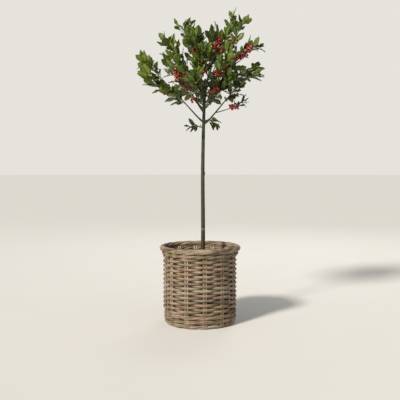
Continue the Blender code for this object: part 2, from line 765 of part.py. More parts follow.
def twig_object(points, radii, material):
    bm = bmesh.new()
    limb_mesh(bm, points, radii, TWIG_SIDES)
    return add_object("twig", bm, material)


def fuse(name, base, others, material):
    """Join a mass into one body: a union on a collection, applied, with its pieces then removed."""
    group = bpy.data.collections.new(f"{name} pieces")
    for item in others:
        group.objects.link(item)
    joint = base.modifiers.new("union", "BOOLEAN")
    joint.operation = "UNION"
    joint.operand_type = "COLLECTION"
    joint.collection = group
    joint.solver = "EXACT"
    graph = bpy.context.evaluated_depsgraph_get()
    mesh = bpy.data.meshes.new_from_object(base.evaluated_get(graph))
    for item in [base, *others]:
        bpy.data.objects.remove(item, do_unlink=True)
    bpy.data.collections.remove(group)
    bm = bmesh.new()
    bm.from_mesh(mesh)
    bpy.data.meshes.remove(mesh)
    keep_outer_shell(bm)
    return add_object(name, bm, material)


def shells_of(bm):
    """Groups of vertices that hang together."""
    left = set(bm.verts)
    shells = []
    while left:
        queue = [left.pop()]
        shell = []
        while queue:
            vert = queue.pop()
            shell.append(vert)
            for edge in vert.link_edges:
                other = edge.other_vert(vert)
                if other in left:
                    left.remove(other)
                    queue.append(other)
        shells.append(shell)
    return shells


def keep_outer_shell(bm):
    """Fill any hollow that fusing sealed, and drop loose scraps."""
    shells = sorted(shells_of(bm), key=len)
    scrap = [vert for shell in shells[:-1] for vert in shell]
    bmesh.ops.delete(bm, geom=scrap, context="VERTS")


def foliage(name):
    plan = plan_mass(name)
    material = surface(f"{name} green", (0.045, 0.085, 0.012), 0.35)
    twigs = [twig_object(points, radii, material) for points, radii in plan["twigs"]]
    pieces = twigs[1:]
    pieces += [leaf_object(corners, material) for corners in plan["leaves"]]
    pieces += [berry_object(centre, material) for centre in plan["berries"]]
    return fuse(name, twigs[0], pieces, material)


def build():
    clear_scene()
    lay_out_limbs()
    lay_out_stems()
    basket_base()
    basket_foot()
    basket_wall()
    basket_upper_band()
    basket_border()
    growing_pot()
    soil()
    trunk()
    for name in BOUGHS:
        bough(name)
    for name in MASSES:
        foliage(name)


build()
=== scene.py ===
"""Looks of a small potted holly grown as a standard: a berried head on a bare stem, in a rattan basket."""
import math
import random
from collections import namedtuple

import bmesh
import bpy
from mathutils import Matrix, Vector, noise
from mathutils.bvhtree import BVHTree


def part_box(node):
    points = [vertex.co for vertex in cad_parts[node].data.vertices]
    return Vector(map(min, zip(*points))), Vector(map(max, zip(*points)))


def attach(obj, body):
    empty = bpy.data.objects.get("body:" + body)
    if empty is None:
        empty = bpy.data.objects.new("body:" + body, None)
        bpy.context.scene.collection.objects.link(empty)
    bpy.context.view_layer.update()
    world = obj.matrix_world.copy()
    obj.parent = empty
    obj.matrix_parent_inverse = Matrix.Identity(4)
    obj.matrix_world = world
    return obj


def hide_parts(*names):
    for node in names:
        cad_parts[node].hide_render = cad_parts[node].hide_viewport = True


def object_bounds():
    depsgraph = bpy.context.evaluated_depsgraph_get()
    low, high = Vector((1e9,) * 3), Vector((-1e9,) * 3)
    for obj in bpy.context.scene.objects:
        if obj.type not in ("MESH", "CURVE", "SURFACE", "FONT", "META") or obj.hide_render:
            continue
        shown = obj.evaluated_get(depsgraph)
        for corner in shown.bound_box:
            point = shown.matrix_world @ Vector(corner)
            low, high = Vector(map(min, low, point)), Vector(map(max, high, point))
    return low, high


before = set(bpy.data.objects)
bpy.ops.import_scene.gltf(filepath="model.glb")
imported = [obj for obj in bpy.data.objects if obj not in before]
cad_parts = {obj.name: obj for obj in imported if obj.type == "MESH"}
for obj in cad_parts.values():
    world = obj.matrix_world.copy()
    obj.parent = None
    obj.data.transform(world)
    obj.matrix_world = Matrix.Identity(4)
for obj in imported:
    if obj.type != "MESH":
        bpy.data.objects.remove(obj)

cad_low, cad_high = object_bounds()

# Base of the basket
# A round mat of rattan: rods woven in rings round crossed sticks, of which only the rings are drawn.
# The foot is woven on round its edge, and it lies flat on whatever the basket stands on.
FULL_TURN = 2.0 * math.pi
UP = Vector((0.0, 0.0, 1.0))
STAKE_GROUPS = 12
FIRST_STAKE = math.radians(-90.0 + 7.9)   # the group of stakes nearest to the front
ROD_SIDES = 8
ROD_STEPS = 192
BASE_ROD = 0.0034
BASE_PITCH = 0.0074
BASE_WAVE = 0.0012
WAVE_FLATNESS = 0.75          # under 1, a rod runs straighter in front of its stakes
chance = random.Random(31)


def linear(code):
    """An sRGB hex colour as linear red, green, blue and alpha."""
    shades = [int(code[i:i + 2], 16) / 255.0 for i in (1, 3, 5)]
    return [s / 12.92 if s <= 0.04045 else ((s + 0.055) / 1.055) ** 2.4 for s in shades] + [1.0]


def add_node(tree, kind, inputs=None, **settings):
    """A shader node with its settings, and its inputs set or linked."""
    made = tree.nodes.new(kind)
    for name, value in settings.items():
        setattr(made, name, value)
    for name, value in (inputs or {}).items():
        if isinstance(value, bpy.types.NodeSocket):
            tree.links.new(value, made.inputs[name])
        else:
            made.inputs[name].default_value = value
    return made


def begin_material(name, roughness, ior=1.5):
    """A new material with its tree, its shader and the place of each point on the object."""
    material = bpy.data.materials.new(name)
    material.use_nodes = True
    tree = material.node_tree
    shader = tree.nodes["Principled BSDF"]
    shader.inputs["Roughness"].default_value = roughness
    shader.inputs["IOR"].default_value = ior
    place = add_node(tree, "ShaderNodeTexCoord").outputs["Object"]
    return material, tree, shader, place


def cloud(tree, place, size, detail=2.0, roughness=0.5):
    """Noise in patches of about a size in metres."""
    return add_node(tree, "ShaderNodeTexNoise", {"Vector": place, "Scale": 1.0 / size, "Detail": detail,
                                                 "Roughness": roughness}).outputs["Fac"]


def arithmetic(tree, kind, first, second):
    """One step of arithmetic on two values or sockets."""
    return add_node(tree, "ShaderNodeMath", {0: first, 1: second}, operation=kind).outputs[0]


def ramp(tree, value, low, high):
    """Nought up to a low value, one from a high value on, and a slope between them."""
    return add_node(tree, "ShaderNodeMapRange",
                    {"Value": value, "From Min": low, "From Max": high}).outputs["Result"]


def mix(tree, share, first, second):
    """From a first to a second colour by a share."""
    return add_node(tree, "ShaderNodeMix", {0: share, 6: first, 7: second},
                    data_type="RGBA").outputs[2]


def dress(tree, shader, colour, height=None, strength=0.0, depth=0.0):
    """The colour of a shader, and its relief where it has one."""
    tree.links.new(colour, shader.inputs["Base Color"])
    if height:
        bump = add_node(tree, "ShaderNodeBump",
                        {"Height": height, "Strength": strength, "Distance": depth})
        tree.links.new(bump.outputs["Normal"], shader.inputs["Normal"])


def weathered_rattan(name, light, dark, upright=False):
    """Peeled rattan rods that have greyed: dull, with long streaks and darker blotches on each rod."""
    streak_length = 0.030
    streak_width = 0.0016         # real fibres are 0.3 mm apart, drawn coarser to show
    blotch = 0.022
    basket_reach = 0.135
    material, tree, shader, place = begin_material(name, 0.68)
    x, y, z = add_node(tree, "ShaderNodeSeparateXYZ", {"Vector": place}).outputs
    if upright:
        along = arithmetic(tree, "MULTIPLY", z, 1.0 / streak_length)
        across = arithmetic(tree, "MULTIPLY", x, 1.0 / streak_width)
    else:
        turn = arithmetic(tree, "ARCTAN2", y, x)
        along = arithmetic(tree, "MULTIPLY", turn, basket_reach / streak_length)
        across = arithmetic(tree, "MULTIPLY", z, 1.0 / streak_width)
    spot = add_node(tree, "ShaderNodeCombineXYZ", {"X": along, "Y": across}).outputs[0]
    streaks = cloud(tree, spot, 1.0, 4.0, 0.6)
    both = arithmetic(tree, "ADD", streaks, cloud(tree, place, blotch, 3.0))
    colour = mix(tree, ramp(tree, both, 0.75, 1.25), linear(dark), linear(light))
    dress(tree, shader, colour, streaks, strength=0.55, depth=0.0006)
    return material


rattan_tones = [
    weathered_rattan("weathered grey rattan", "#998972", "#5b4c38"),
    weathered_rattan("beige rattan", "#a48b74", "#644f3c"),
    weathered_rattan("khaki rattan", "#93835d", "#584930"),
    weathered_rattan("brown rattan", "#7c6a54", "#413323"),
    weathered_rattan("pale rattan", "#ad9e87", "#6f5f48"),
]


def any_tone():
    """Which of the tones a rod has: the grey and beige ones are the commonest."""
    return chance.choice((0, 0, 0, 1, 1, 2, 3, 4))


def blend(start, end, share):
    """From one value to another by a share."""
    return start + (end - start) * share


def new_store():
    """Room for a piece's points and faces, and for the tone of each face."""
    return {"points": [], "faces": [], "tones": []}


def turns_of(count):
    """Even turns once round a ring."""
    return [FULL_TURN * i / count for i in range(count)]


def add_rings(store, rings, tone, closed=False):
    """Faces between rings of points, capped unless they close, in one tone or one for each side."""
    start = len(store["points"])
    count = len(rings[0])
    tones = tone if isinstance(tone, (list, tuple)) else [tone] * count
    for ring in rings:
        store["points"] += [tuple(point) for point in ring]
    for i in range(len(rings) if closed else len(rings) - 1):
        low = start + i * count
        high = start + (i + 1) % len(rings) * count
        for j in range(count):
            k = (j + 1) % count
            store["faces"].append((low + j, low + k, high + k, high + j))
            store["tones"].append(tones[j])
    if not closed:
        last = start + (len(rings) - 1) * count
        store["faces"].append(tuple(range(start + count - 1, start - 1, -1)))
        store["faces"].append(tuple(range(last, last + count)))
        store["tones"] += [tones[0], tones[0]]


def make_piece(name, store, materials, nodes):
    """One joined mesh, its materials dealt out by tone, that stands for its nodes."""
    mesh = bpy.data.meshes.new(name)
    mesh.from_pydata(store["points"], [], store["faces"])
    for material in materials:
        mesh.materials.append(material)
    mesh.polygons.foreach_set("material_index", store["tones"])
    bm = bmesh.new()
    bm.from_mesh(mesh)
    bmesh.ops.recalc_face_normals(bm, faces=bm.faces)
    bm.to_mesh(mesh)
    bm.free()
    mesh.shade_smooth()
    piece = bpy.data.objects.new(name, mesh)
    bpy.context.scene.collection.objects.link(piece)
    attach(piece, "root")
    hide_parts(*nodes)
    return piece


def bend_rod(store, reach, level, half_out, half_up, tone, start=0.0, sweep=FULL_TURN):
    """A rod bent round the basket: reach and level give its middle at each angle, in metres."""
    closed = sweep >= FULL_TURN
    steps = max(8, round(ROD_STEPS * sweep / FULL_TURN))
    rings = []
    for i in range(steps if closed else steps + 1):
        angle = start + sweep * i / steps
        out = Vector((math.cos(angle), math.sin(angle), 0.0))
        middle = out * reach(angle) + UP * level(angle)
        tall = half_up(angle) if callable(half_up) else half_up
        rings.append([middle + out * half_out * math.cos(turn) + UP * tall * math.sin(turn)
                      for turn in turns_of(ROD_SIDES)])
    add_rings(store, rings, tone, closed)


def in_and_out(angle, row):
    """From 1 in front of a group of stakes to -1 behind the next, turned about on every other row."""
    wave = math.cos(STAKE_GROUPS / 2 * (angle - FIRST_STAKE) + math.pi * row)
    return math.copysign(abs(wave) ** WAVE_FLATNESS, wave)


base_store = new_store()
base_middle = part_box("basket_base")[1].z / 2.0
base_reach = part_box("basket_base")[1].x - BASE_ROD
for row in range(int(base_reach / BASE_PITCH)):
    bend_rod(base_store, lambda angle: base_reach - row * BASE_PITCH,
             lambda angle: base_middle + BASE_WAVE * in_and_out(angle, row),
             BASE_ROD, BASE_ROD, any_tone())
make_piece("woven_base", base_store, rattan_tones, ["basket_base"])


# Foot of the basket
# Three rows of stout rods, three in each row that twist slowly round each other. The lowest row is
# drawn in, so that the basket stands on a rounded edge.
FOOT_ROWS = ((0.1220, 0.0083), (0.1264, 0.0246), (0.1267, 0.0408))   # reach and height of each
FOOT_RODS = 3
FOOT_TWISTS = 5
FOOT_TURN = 0.0036
FOOT_ROD = 0.0044
LEAD_STRAY = 0.3              # how unevenly the rods of a row are spaced, in radians


def twist_rods(store, reach, level, rods, twists, turn_reach, rod):
    """Rods that twist round each other on their way round the basket."""
    for number in range(rods):
        lead = FULL_TURN * number / rods + chance.uniform(0.0, LEAD_STRAY)
        bend_rod(store, lambda angle: reach + turn_reach * math.cos(twists * angle + lead),
                 lambda angle: level + turn_reach * math.sin(twists * angle + lead),
                 rod, rod, any_tone())


foot_store = new_store()
for reach, level in FOOT_ROWS:
    twist_rods(foot_store, reach, level, FOOT_RODS, FOOT_TWISTS, FOOT_TURN, FOOT_ROD)
make_piece("twisted_foot", foot_store, rattan_tones, ["basket_foot"])


# Wall of the basket
# Twelve pairs of upright stakes, with one thick rod at a time woven in front of one pair and behind
# the next. The rods are nature's own: they differ in tone, and many rows change rod on the way.
WEAVE_ROWS = 24
WEAVE_MIDDLE = 0.1275
WEAVE_REACH = 0.0058
WEAVE_OUT = 0.0034            # half a rod's thickness, seen from above
WEAVE_UP = 0.0042             # and seen from the front
WEAVE_SQUASH = 0.0009         # it shows wider in front of stakes, and is pressed thin behind them
WEAVE_STRAY = 0.0006          # how far a row wanders up and down
WEAVE_WANDER = 3.0            # and how often
WEAVE_SIZES = (0.96, 1.05)
WHOLE_ROWS = 0.3              # share of the rows that are one rod
PART_ROWS = (0.3, 0.7)        # where the others change rod
STAKE_RADIUS = 0.0030
STAKE_REACH = 0.1278
STAKE_HALF_GAP = 0.0044
STAKE_SPAN = (0.006, 0.268)


def weave_row(store, row, level):
    """One row, of one rod or of two whose ends meet."""
    half_up = WEAVE_UP * chance.uniform(*WEAVE_SIZES)
    start = chance.uniform(0.0, FULL_TURN)
    whole = chance.random() < WHOLE_ROWS
    sweeps = [FULL_TURN] if whole else [FULL_TURN * chance.uniform(*PART_ROWS)]
    if not whole:
        sweeps.append(FULL_TURN - sweeps[0])

    def wander(angle):
        spot = Vector((WEAVE_WANDER * math.cos(angle), WEAVE_WANDER * math.sin(angle), row))
        return level + WEAVE_STRAY * noise.noise(spot)

    for sweep in sweeps:
        bend_rod(store, lambda angle: WEAVE_MIDDLE + WEAVE_REACH * in_and_out(angle, row), wander,
                 WEAVE_OUT, lambda angle: half_up + WEAVE_SQUASH * in_and_out(angle, row),
                 any_tone(), start, sweep)
        start += sweep


wall_store = new_store()
wall_low, wall_high = [corner.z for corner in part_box("basket_wall")]
row_pitch = (wall_high - wall_low) / WEAVE_ROWS
for row in range(WEAVE_ROWS):
    weave_row(wall_store, row, wall_low + (row + 0.5) * row_pitch)
make_piece("woven_wall", wall_store, rattan_tones, ["basket_wall"])

stake_store = new_store()
stake_tones = [
    weathered_rattan("brown stakes", "#bcaa90", "#7d6a50", upright=True),
    weathered_rattan("grey stakes", "#c9b99e", "#8d7a5e", upright=True),
]
for group in range(STAKE_GROUPS):
    angle = FIRST_STAKE + FULL_TURN * group / STAKE_GROUPS
    out = Vector((math.cos(angle), math.sin(angle), 0.0))
    for side in (-1.0, 1.0):
        foot = out * STAKE_REACH + out.cross(UP) * STAKE_HALF_GAP * side
        rings = []
        for level in STAKE_SPAN:
            rings.append([foot + UP * level + Vector((math.cos(t), math.sin(t), 0.0)) * STAKE_RADIUS
                          for t in turns_of(ROD_SIDES)])
        add_rings(stake_store, rings, chance.randrange(2))
make_piece("upright_stakes", stake_store, stake_tones, [])


# Band and border of the basket
# Above the weave three rods twist round each other as a band, which binds the stakes. The stakes'
# ends are then rolled over it into a border like a thick rope.
BAND_LEVEL = 0.2594
BAND_REACH = 0.1338
BAND_RODS = 3
BAND_TWISTS = 6
BAND_TURN = 0.0038
BAND_ROD = 0.0044
BORDER_REACH = 0.1400
BORDER_LEVEL = 0.2770
BORDER_RODS = 5
BORDER_TWISTS = 4
BORDER_TURN = 0.0053
BORDER_ROD = 0.0045
CORE_REACH = 0.1345           # the bent ends of the stakes, inside band and border
CORE_LEVEL = 0.2675
CORE_ROD = 0.0040
PACKING_REACH = 0.1245        # a rod behind the stakes that the band rests on
PACKING_LEVEL = 0.2518
SHADED_ROD_TONE = 3                # brown, as painted shade on these two that lie out of the light

band_store = new_store()
twist_rods(band_store, BAND_REACH, BAND_LEVEL, BAND_RODS, BAND_TWISTS, BAND_TURN, BAND_ROD)
# the core and packing rods take the brown tone as painted shade
for reach, level in ((CORE_REACH, CORE_LEVEL), (PACKING_REACH, PACKING_LEVEL)):
    bend_rod(band_store, lambda angle: reach, lambda angle: level, CORE_ROD, CORE_ROD, SHADED_ROD_TONE)
make_piece("twisted_band", band_store, rattan_tones, ["basket_upper_band"])
border_store = new_store()
twist_rods(border_store, BORDER_REACH, BORDER_LEVEL, BORDER_RODS, BORDER_TWISTS, BORDER_TURN,
           BORDER_ROD)
make_piece("rolled_border", border_store, rattan_tones, ["basket_border"])


# Growing pot
# A thin black polypropylene pot stands inside the basket, blow-moulded, so that it is dull with a
# fine orange-peel surface, and dusty with compost.
def moulded_polypropylene():
    """Black plastic: dull, dusty, with a fine orange-peel relief."""
    material, tree, shader, place = begin_material("black moulded polypropylene", 0.5, 1.49)
    dust = ramp(tree, cloud(tree, place, 0.020, 4.0), 0.45, 0.75)
    colour = mix(tree, dust, linear("#131313"), linear("#2c2822"))
    dress(tree, shader, colour, cloud(tree, place, 0.0015), strength=0.2, depth=0.0002)
    return material


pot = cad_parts["growing_pot"]
pot.data.materials.clear()
pot.data.materials.append(moulded_polypropylene())


# Soil
# Moist compost of peat and fine bark, pressed into the pot by hand, with loose crumbs on top.
SOIL_RINGS = 36
SOIL_SECTORS = 96
SOIL_RELIEF = 0.0020
SOIL_FOOT = 0.1000            # the soil's radius at its foot, inside the pot
SOIL_LUMPS = ((1.0, 60.0), (0.6, 220.0))     # how much of each lump, and how many in a metre
SOIL_EYE = 0.005              # the innermost ring, as a share of the outermost
CRUMBS = 700
CRUMB_SIZES = (0.0010, 0.0032)
CRUMB_SIDES = 6
CRUMB_RINGS = ((-0.9, 0.35), (-0.35, 1.0), (0.4, 0.9), (0.95, 0.3))    # level and width
CRUMB_STRETCH = (0.6, 1.2)
CRUMB_SEAT = 0.3              # of its size, from the soil to its middle
CRUMB_MARGIN = 0.004          # from the soil's edge


def moist_compost(name, light, dark):
    """Peat and bark, matt and nearly black where it is wet, with paler fibres."""
    material, tree, shader, place = begin_material(name, 0.92)
    grain = cloud(tree, place, 0.004, 6.0)
    colour = mix(tree, ramp(tree, grain, 0.40, 0.68), linear(dark), linear(light))
    dress(tree, shader, colour, grain, strength=0.8, depth=0.0015)
    return material


soil_low, soil_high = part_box("soil")
SOIL_HEIGHT = soil_high.z
soil_store = new_store()


def soil_ring(radius, height, relief):
    """One ring of the soil's surface or foot, uneven by its relief."""
    ring = []
    for angle in turns_of(SOIL_SECTORS):
        spot = Vector((radius * math.cos(angle), radius * math.sin(angle), height))
        spot.z += relief * sum(share * noise.noise(spot * pitch) for share, pitch in SOIL_LUMPS)
        ring.append(spot)
    return ring


soil_rings = [soil_ring(SOIL_FOOT * share, soil_low.z, 0.0) for share in (SOIL_EYE, 1.0)]
for i in range(SOIL_RINGS + 1):
    radius = soil_high.x * blend(1.0, SOIL_EYE, i / SOIL_RINGS)
    soil_rings.append(soil_ring(radius, SOIL_HEIGHT, SOIL_RELIEF))
add_rings(soil_store, soil_rings, 0)
for number in range(CRUMBS):
    angle = chance.uniform(0.0, FULL_TURN)
    reach = (soil_high.x - CRUMB_MARGIN) * math.sqrt(chance.random())
    size = chance.uniform(*CRUMB_SIZES)
    height = SOIL_HEIGHT + CRUMB_SEAT * size
    centre = Vector((reach * math.cos(angle), reach * math.sin(angle), height))
    lean = Vector([chance.uniform(*CRUMB_STRETCH) * size for axis in range(3)])
    crumb = []
    for level, share in CRUMB_RINGS:
        crumb.append([centre + Vector((lean.x * share * math.cos(turn + level),
                                       lean.y * share * math.sin(turn + level), lean.z * level * 0.7))
                      for turn in turns_of(CRUMB_SIDES)])
    add_rings(soil_store, crumb, 1 if number % 3 else 2)
make_piece("moist_compost", soil_store, [
    moist_compost("dark compost", "#3a2c1f", "#17110c"),
    moist_compost("compost crumbs", "#46352a", "#1d1510"),
    moist_compost("bark crumbs", "#6a4c33", "#33241a"),
], ["soil"])


# Stem
# One bare stem of a young holly, its side shoots rubbed off as it grew. The bark is still smooth
# and green, with pale cork pores, faint rings where leaves stood, and two pale green bands.
CLEARANCE = 0.0003            # between pieces that touch
STEM_OFFSET = 0.0104          # the stem stands a little right of the basket's middle
STEM_RADIUS = 0.0076
STEM_TIP_RADIUS = 0.0052
STEM_LEVELS = 13
FLARE_RADIUS = 0.0115
FLARE_HEIGHT = 0.022
FLARE_NECK = 1.06             # how much thicker the stem still is above its flare
STEM_TAPER = 1.6              # power by which it thins towards the fork
FORK_HEIGHT = 0.838
STEM_LEAN = 0.0010            # to the right over the whole height
FORK_LEAN = 0.0056            # and close under the fork
FORK_LEAN_POWER = 8
STEM_SWAY = 0.0008            # slow waves to either side
STEM_WAVES = (9.0, 7.0)       # radians over the height, seen from the front and from the side
KNOB_HEIGHT = 0.551
KNOB_SIZE = 0.0022
KNOB_SPREAD = 0.0045
FINE_LEVELS = 300
FINE_SIDES = 24
STEM_FOOT = 0.004             # how far the bark goes down into the compost
PORE_RELIEF = 0.00022
RIDGES = Vector((500.0, 500.0, 90.0))      # in a metre, long up the stem
PORES = Vector((260.0, 260.0, 520.0))      # in a metre, long round the stem
PORE_EDGE = 0.25              # only the highest of the noise stands out as pores
PORE_HEIGHT = 3.0             # of the relief
SCAR_PITCH = 0.046            # from one ring of leaf scars to the next
SCAR_RELIEF = 0.00030
SCAR_HALF_HEIGHT = 0.0016
BAND_HEIGHTS = (0.346, 0.709)
BAND_HALF_HEIGHT = 0.0028
STEM_TONE, BAND_TONE, BOUGH_TONE = range(3)      # which of the barks


def smooth_bark(name, light, dark, pores):
    """Young holly bark: satin, finely ridged, mottled with algae, and dotted with pale cork pores."""
    material, tree, shader, place = begin_material(name, 0.62)
    specks = cloud(tree, place, 0.0030)
    mottled = mix(tree, cloud(tree, place, 0.012, 5.0, 0.65), linear(dark), linear(light))
    dotted = mix(tree, ramp(tree, specks, 0.62, 0.70), mottled, linear(pores))
    dress(tree, shader, dotted, specks, strength=0.5, depth=0.0005)
    return material


def limb_frames(points, first=None):
    """A direction at each point, and two square directions that turn as little as they can."""
    frames = []
    across = None
    for i, point in enumerate(points):
        before = points[max(0, i - 1)]
        after = points[min(len(points) - 1, i + 1)]
        ahead = (after - before).normalized()
        if i == 0 and first is not None:
            ahead = first
        if across is None:
            across = ahead.orthogonal().normalized()
        across = (across - ahead * across.dot(ahead)).normalized()
        frames.append((ahead, across, ahead.cross(across)))
    return frames


def find_on(points, share):
    """The step of a path, and how far along that step, at a share of the path's length."""
    lengths = [(b - a).length for a, b in zip(points, points[1:])]
    left = share * sum(lengths)
    for i, length in enumerate(lengths):
        if left <= length:
            return i, left / length
        left -= length
    return len(lengths) - 1, 1.0


def on_path(points, share):
    """Point and direction at a share of a path's length."""
    i, part = find_on(points, share)
    return points[i].lerp(points[i + 1], part), (points[i + 1] - points[i]).normalized()


def radius_on(points, radii, share):
    """Radius at a share of a path's length."""
    i, part = find_on(points, share)
    return blend(radii[i], radii[i + 1], part)


def curve(start, handle, end, steps):
    """Points along a simple bend."""
    points = []
    for i in range(steps + 1):
        t = i / steps
        points.append(start * (1 - t) ** 2 + handle * 2 * t * (1 - t) + end * t ** 2)
    return points


def taper(base, share, points):
    """Radii that fall evenly from the base to a share of it at the tip."""
    last = len(points) - 1
    return [blend(base, base * share, i / last) for i in range(last + 1)]


def stem_at(height, share):
    """The stem's middle and radius at a height and at its share of the way to the fork."""
    lean = STEM_LEAN * share + FORK_LEAN * share ** FORK_LEAN_POWER
    sway = [STEM_SWAY * math.sin(waves * share) for waves in STEM_WAVES]
    middle = Vector((STEM_OFFSET + lean + sway[0], sway[1], height))
    return middle, blend(STEM_RADIUS, STEM_TIP_RADIUS, share ** STEM_TAPER)


def trunk_path():
    """The stem rises almost straight, with a slow lean to the right near its fork."""
    low = SOIL_HEIGHT + CLEARANCE
    points = []
    radii = []
    for i in range(STEM_LEVELS):
        share = i / (STEM_LEVELS - 1)
        middle, radius = stem_at(blend(low, FORK_HEIGHT, share), share)
        points.append(middle)
        radii.append(radius)
    flare = points[0].lerp(points[1], FLARE_HEIGHT / (points[1].z - low))
    points.insert(1, flare)
    radii.insert(1, STEM_RADIUS * FLARE_NECK)
    radii[0] = FLARE_RADIUS
    return points, radii


def round_rings(points, radii, sides, first=None):
    """Round rings along a limb."""
    rings = []
    for point, radius, frame_here in zip(points, radii, limb_frames(points, first)):
        rings.append([point + (frame_here[1] * math.cos(turn) + frame_here[2] * math.sin(turn)) * radius
                      for turn in turns_of(sides)])
    return rings


def fine_stem():
    """The stem's own line and thickness again, in short steps, with its flare, scars and knob."""
    low = SOIL_HEIGHT - STEM_FOOT
    points = []
    radii = []
    for i in range(FINE_LEVELS + 1):
        height = blend(low, FORK_HEIGHT, i / FINE_LEVELS)
        share = max(0.0, (height - SOIL_HEIGHT) / (FORK_HEIGHT - SOIL_HEIGHT))
        middle, radius = stem_at(height, share)
        points.append(middle)
        flare = (FLARE_RADIUS - STEM_RADIUS) * math.exp(-(height - low) / (FLARE_HEIGHT / 2.0))
        offset = (height - SOIL_HEIGHT) % SCAR_PITCH - SCAR_PITCH / 2.0
        scar = SCAR_RELIEF * math.exp(-(offset / SCAR_HALF_HEIGHT) ** 2)
        radii.append(radius + flare + scar)
    return points, radii


def roughen(ring, middle, relief):
    """Pores and shallow ridges: each point moves in or out by a little."""
    for i, spot in enumerate(ring):
        out = (spot - middle).normalized()
        ridge = noise.noise(spot * RIDGES)
        pore = max(0.0, noise.noise(spot * PORES) - PORE_EDGE)
        ring[i] = spot + out * relief * (ridge + PORE_HEIGHT * pore)


bark_store = new_store()
stem_points, stem_radii = fine_stem()
stem_rings = round_rings(stem_points, stem_radii, FINE_SIDES, UP)
for ring, middle in zip(stem_rings, stem_points):
    roughen(ring, middle, PORE_RELIEF)
    for i, spot in enumerate(ring):
        away = Vector((spot.x - middle.x - STEM_RADIUS, spot.y - middle.y, spot.z - KNOB_HEIGHT))
        ring[i] = spot + Vector((KNOB_SIZE * math.exp(-away.length_squared / KNOB_SPREAD ** 2), 0.0, 0.0))
add_rings(bark_store, stem_rings, STEM_TONE)
for i in range(FINE_LEVELS):
    middle = (stem_points[i].z + stem_points[i + 1].z) / 2.0
    if min(abs(middle - band) for band in BAND_HEIGHTS) < BAND_HALF_HEIGHT:
        bark_store["tones"][i * FINE_SIDES:(i + 1) * FINE_SIDES] = [BAND_TONE] * FINE_SIDES


# Boughs
# The stem forks into two leaders, and boughs leave it and each other just below. They are last
# year's wood, thinner and greener than the stem, and swell a little where they leave it.
BOUGH_TAPER = 0.62            # tip thickness as a share of the base
BOUGH_COLLAR = 0.10           # share of its length in which a bough turns to its own way
BOUGH_BEND = 0.40             # and where it carries straight on from its parent's tip
BOUGH_STEPS = 4
BOUGH_SWELL = 1.28
BOUGH_ROOT = 0.004            # how far a bough's bark goes into what carries it
BOUGH_SIDES = 12
SMOOTH_PARTS = 4
# Boughs: what carries each, how far along it, heading, rise, length and thickness at the base
Bough = namedtuple("Bough", "carrier share heading rise length thickness")
BOUGHS = {
    "left_low_bough": Bough("trunk", 0.845, 190, 42, 0.078, 0.0072),
    "right_low_bough": Bough("trunk", 0.832, 345, 44, 0.100, 0.0072),
    "front_bough": Bough("trunk", 0.872, 266, 40, 0.080, 0.0070),
    "back_bough": Bough("trunk", 0.884, 88, 38, 0.080, 0.0070),
    "left_mid_bough": Bough("trunk", 0.905, 207, 50, 0.070, 0.0064),
    "right_mid_bough": Bough("trunk", 0.925, 24, 46, 0.070, 0.0064),
    "left_leader": Bough("trunk", 0.968, 187, 74, 0.085, 0.0066),
    "right_leader": Bough("trunk", 1.0, 10, 76, 0.092, 0.0082),
    "right_sprig_bough": Bough("right_low_bough", 0.60, 330, 10, 0.060, 0.0040),
    "right_upper_bough": Bough("right_leader", 0.30, 345, 46, 0.056, 0.0060),
    "front_left_bough": Bough("front_bough", 0.50, 206, 40, 0.048, 0.0048),
    "front_right_bough": Bough("front_bough", 0.72, 316, 44, 0.052, 0.0048),
    "back_left_bough": Bough("back_bough", 0.50, 142, 40, 0.048, 0.0048),
    "back_right_bough": Bough("back_bough", 0.72, 44, 40, 0.052, 0.0048),
    "left_upper_bough": Bough("left_leader", 0.52, 200, 46, 0.040, 0.0046),
    "front_middle_bough": Bough("left_leader", 0.30, 275, 52, 0.050, 0.0046),
    "front_top_bough": Bough("left_leader", 0.76, 282, 55, 0.048, 0.0046),
    "front_upper_bough": Bough("right_leader", 0.46, 284, 50, 0.050, 0.0046),
    "back_top_bough": Bough("right_leader", 0.74, 110, 52, 0.048, 0.0046),
    "top_right_bough": Bough("right_leader", 0.62, 8, 60, 0.060, 0.0050),
    "right_top_bough": Bough("right_upper_bough", 0.62, 355, 54, 0.056, 0.0046),
}

LIMBS = {}


def direction_of(heading, rise):
    """Unit vector from a heading and a rise above level, both in degrees."""
    turn = math.radians(heading)
    lift = math.radians(rise)
    return Vector((math.cos(lift) * math.cos(turn), math.cos(lift) * math.sin(turn), math.sin(lift)))


def leave_side(parent, share, way):
    """Where a limb leaves its parent's side or tip, and which way its first flat end faces."""
    points, radii = LIMBS[parent]
    spot, along = on_path(points, share)
    if share >= 1.0:
        return spot + along * CLEARANCE, along, spot
    out = (way - along * way.dot(along)).normalized()
    return spot + out * (radius_on(points, radii, share) + CLEARANCE), out, spot


def bough_path(name):
    """One tapering limb that leaves square to its parent and turns at once to its own way."""
    row = BOUGHS[name]
    way = direction_of(row.heading, row.rise)
    start, out, centre = leave_side(row.carrier, row.share, way)
    end = centre + way * row.length
    if row.share >= 1.0:
        handle = start + out * BOUGH_BEND * row.length
    else:
        handle = start + (out + way).normalized() * BOUGH_COLLAR * row.length
    points = curve(start, handle, end, BOUGH_STEPS)
    return points, taper(row.thickness / 2.0, BOUGH_TAPER, points)


def smooth_path(points, radii):
    """The same line with short steps, rounded where it bends."""
    ends = [points[0] * 2.0 - points[1], *points, points[-1] * 2.0 - points[-2]]
    line = []
    sizes = []
    for i in range(len(points) - 1):
        a, b, c, d = ends[i:i + 4]
        for part in range(SMOOTH_PARTS):
            t = part / SMOOTH_PARTS
            line.append(0.5 * (2.0 * b + (c - a) * t + (2.0 * a - 5.0 * b + 4.0 * c - d) * t * t
                               + (3.0 * b - a - 3.0 * c + d) * t ** 3))
            sizes.append(blend(radii[i], radii[i + 1], t))
    return line + [points[-1]], sizes + [radii[-1]]


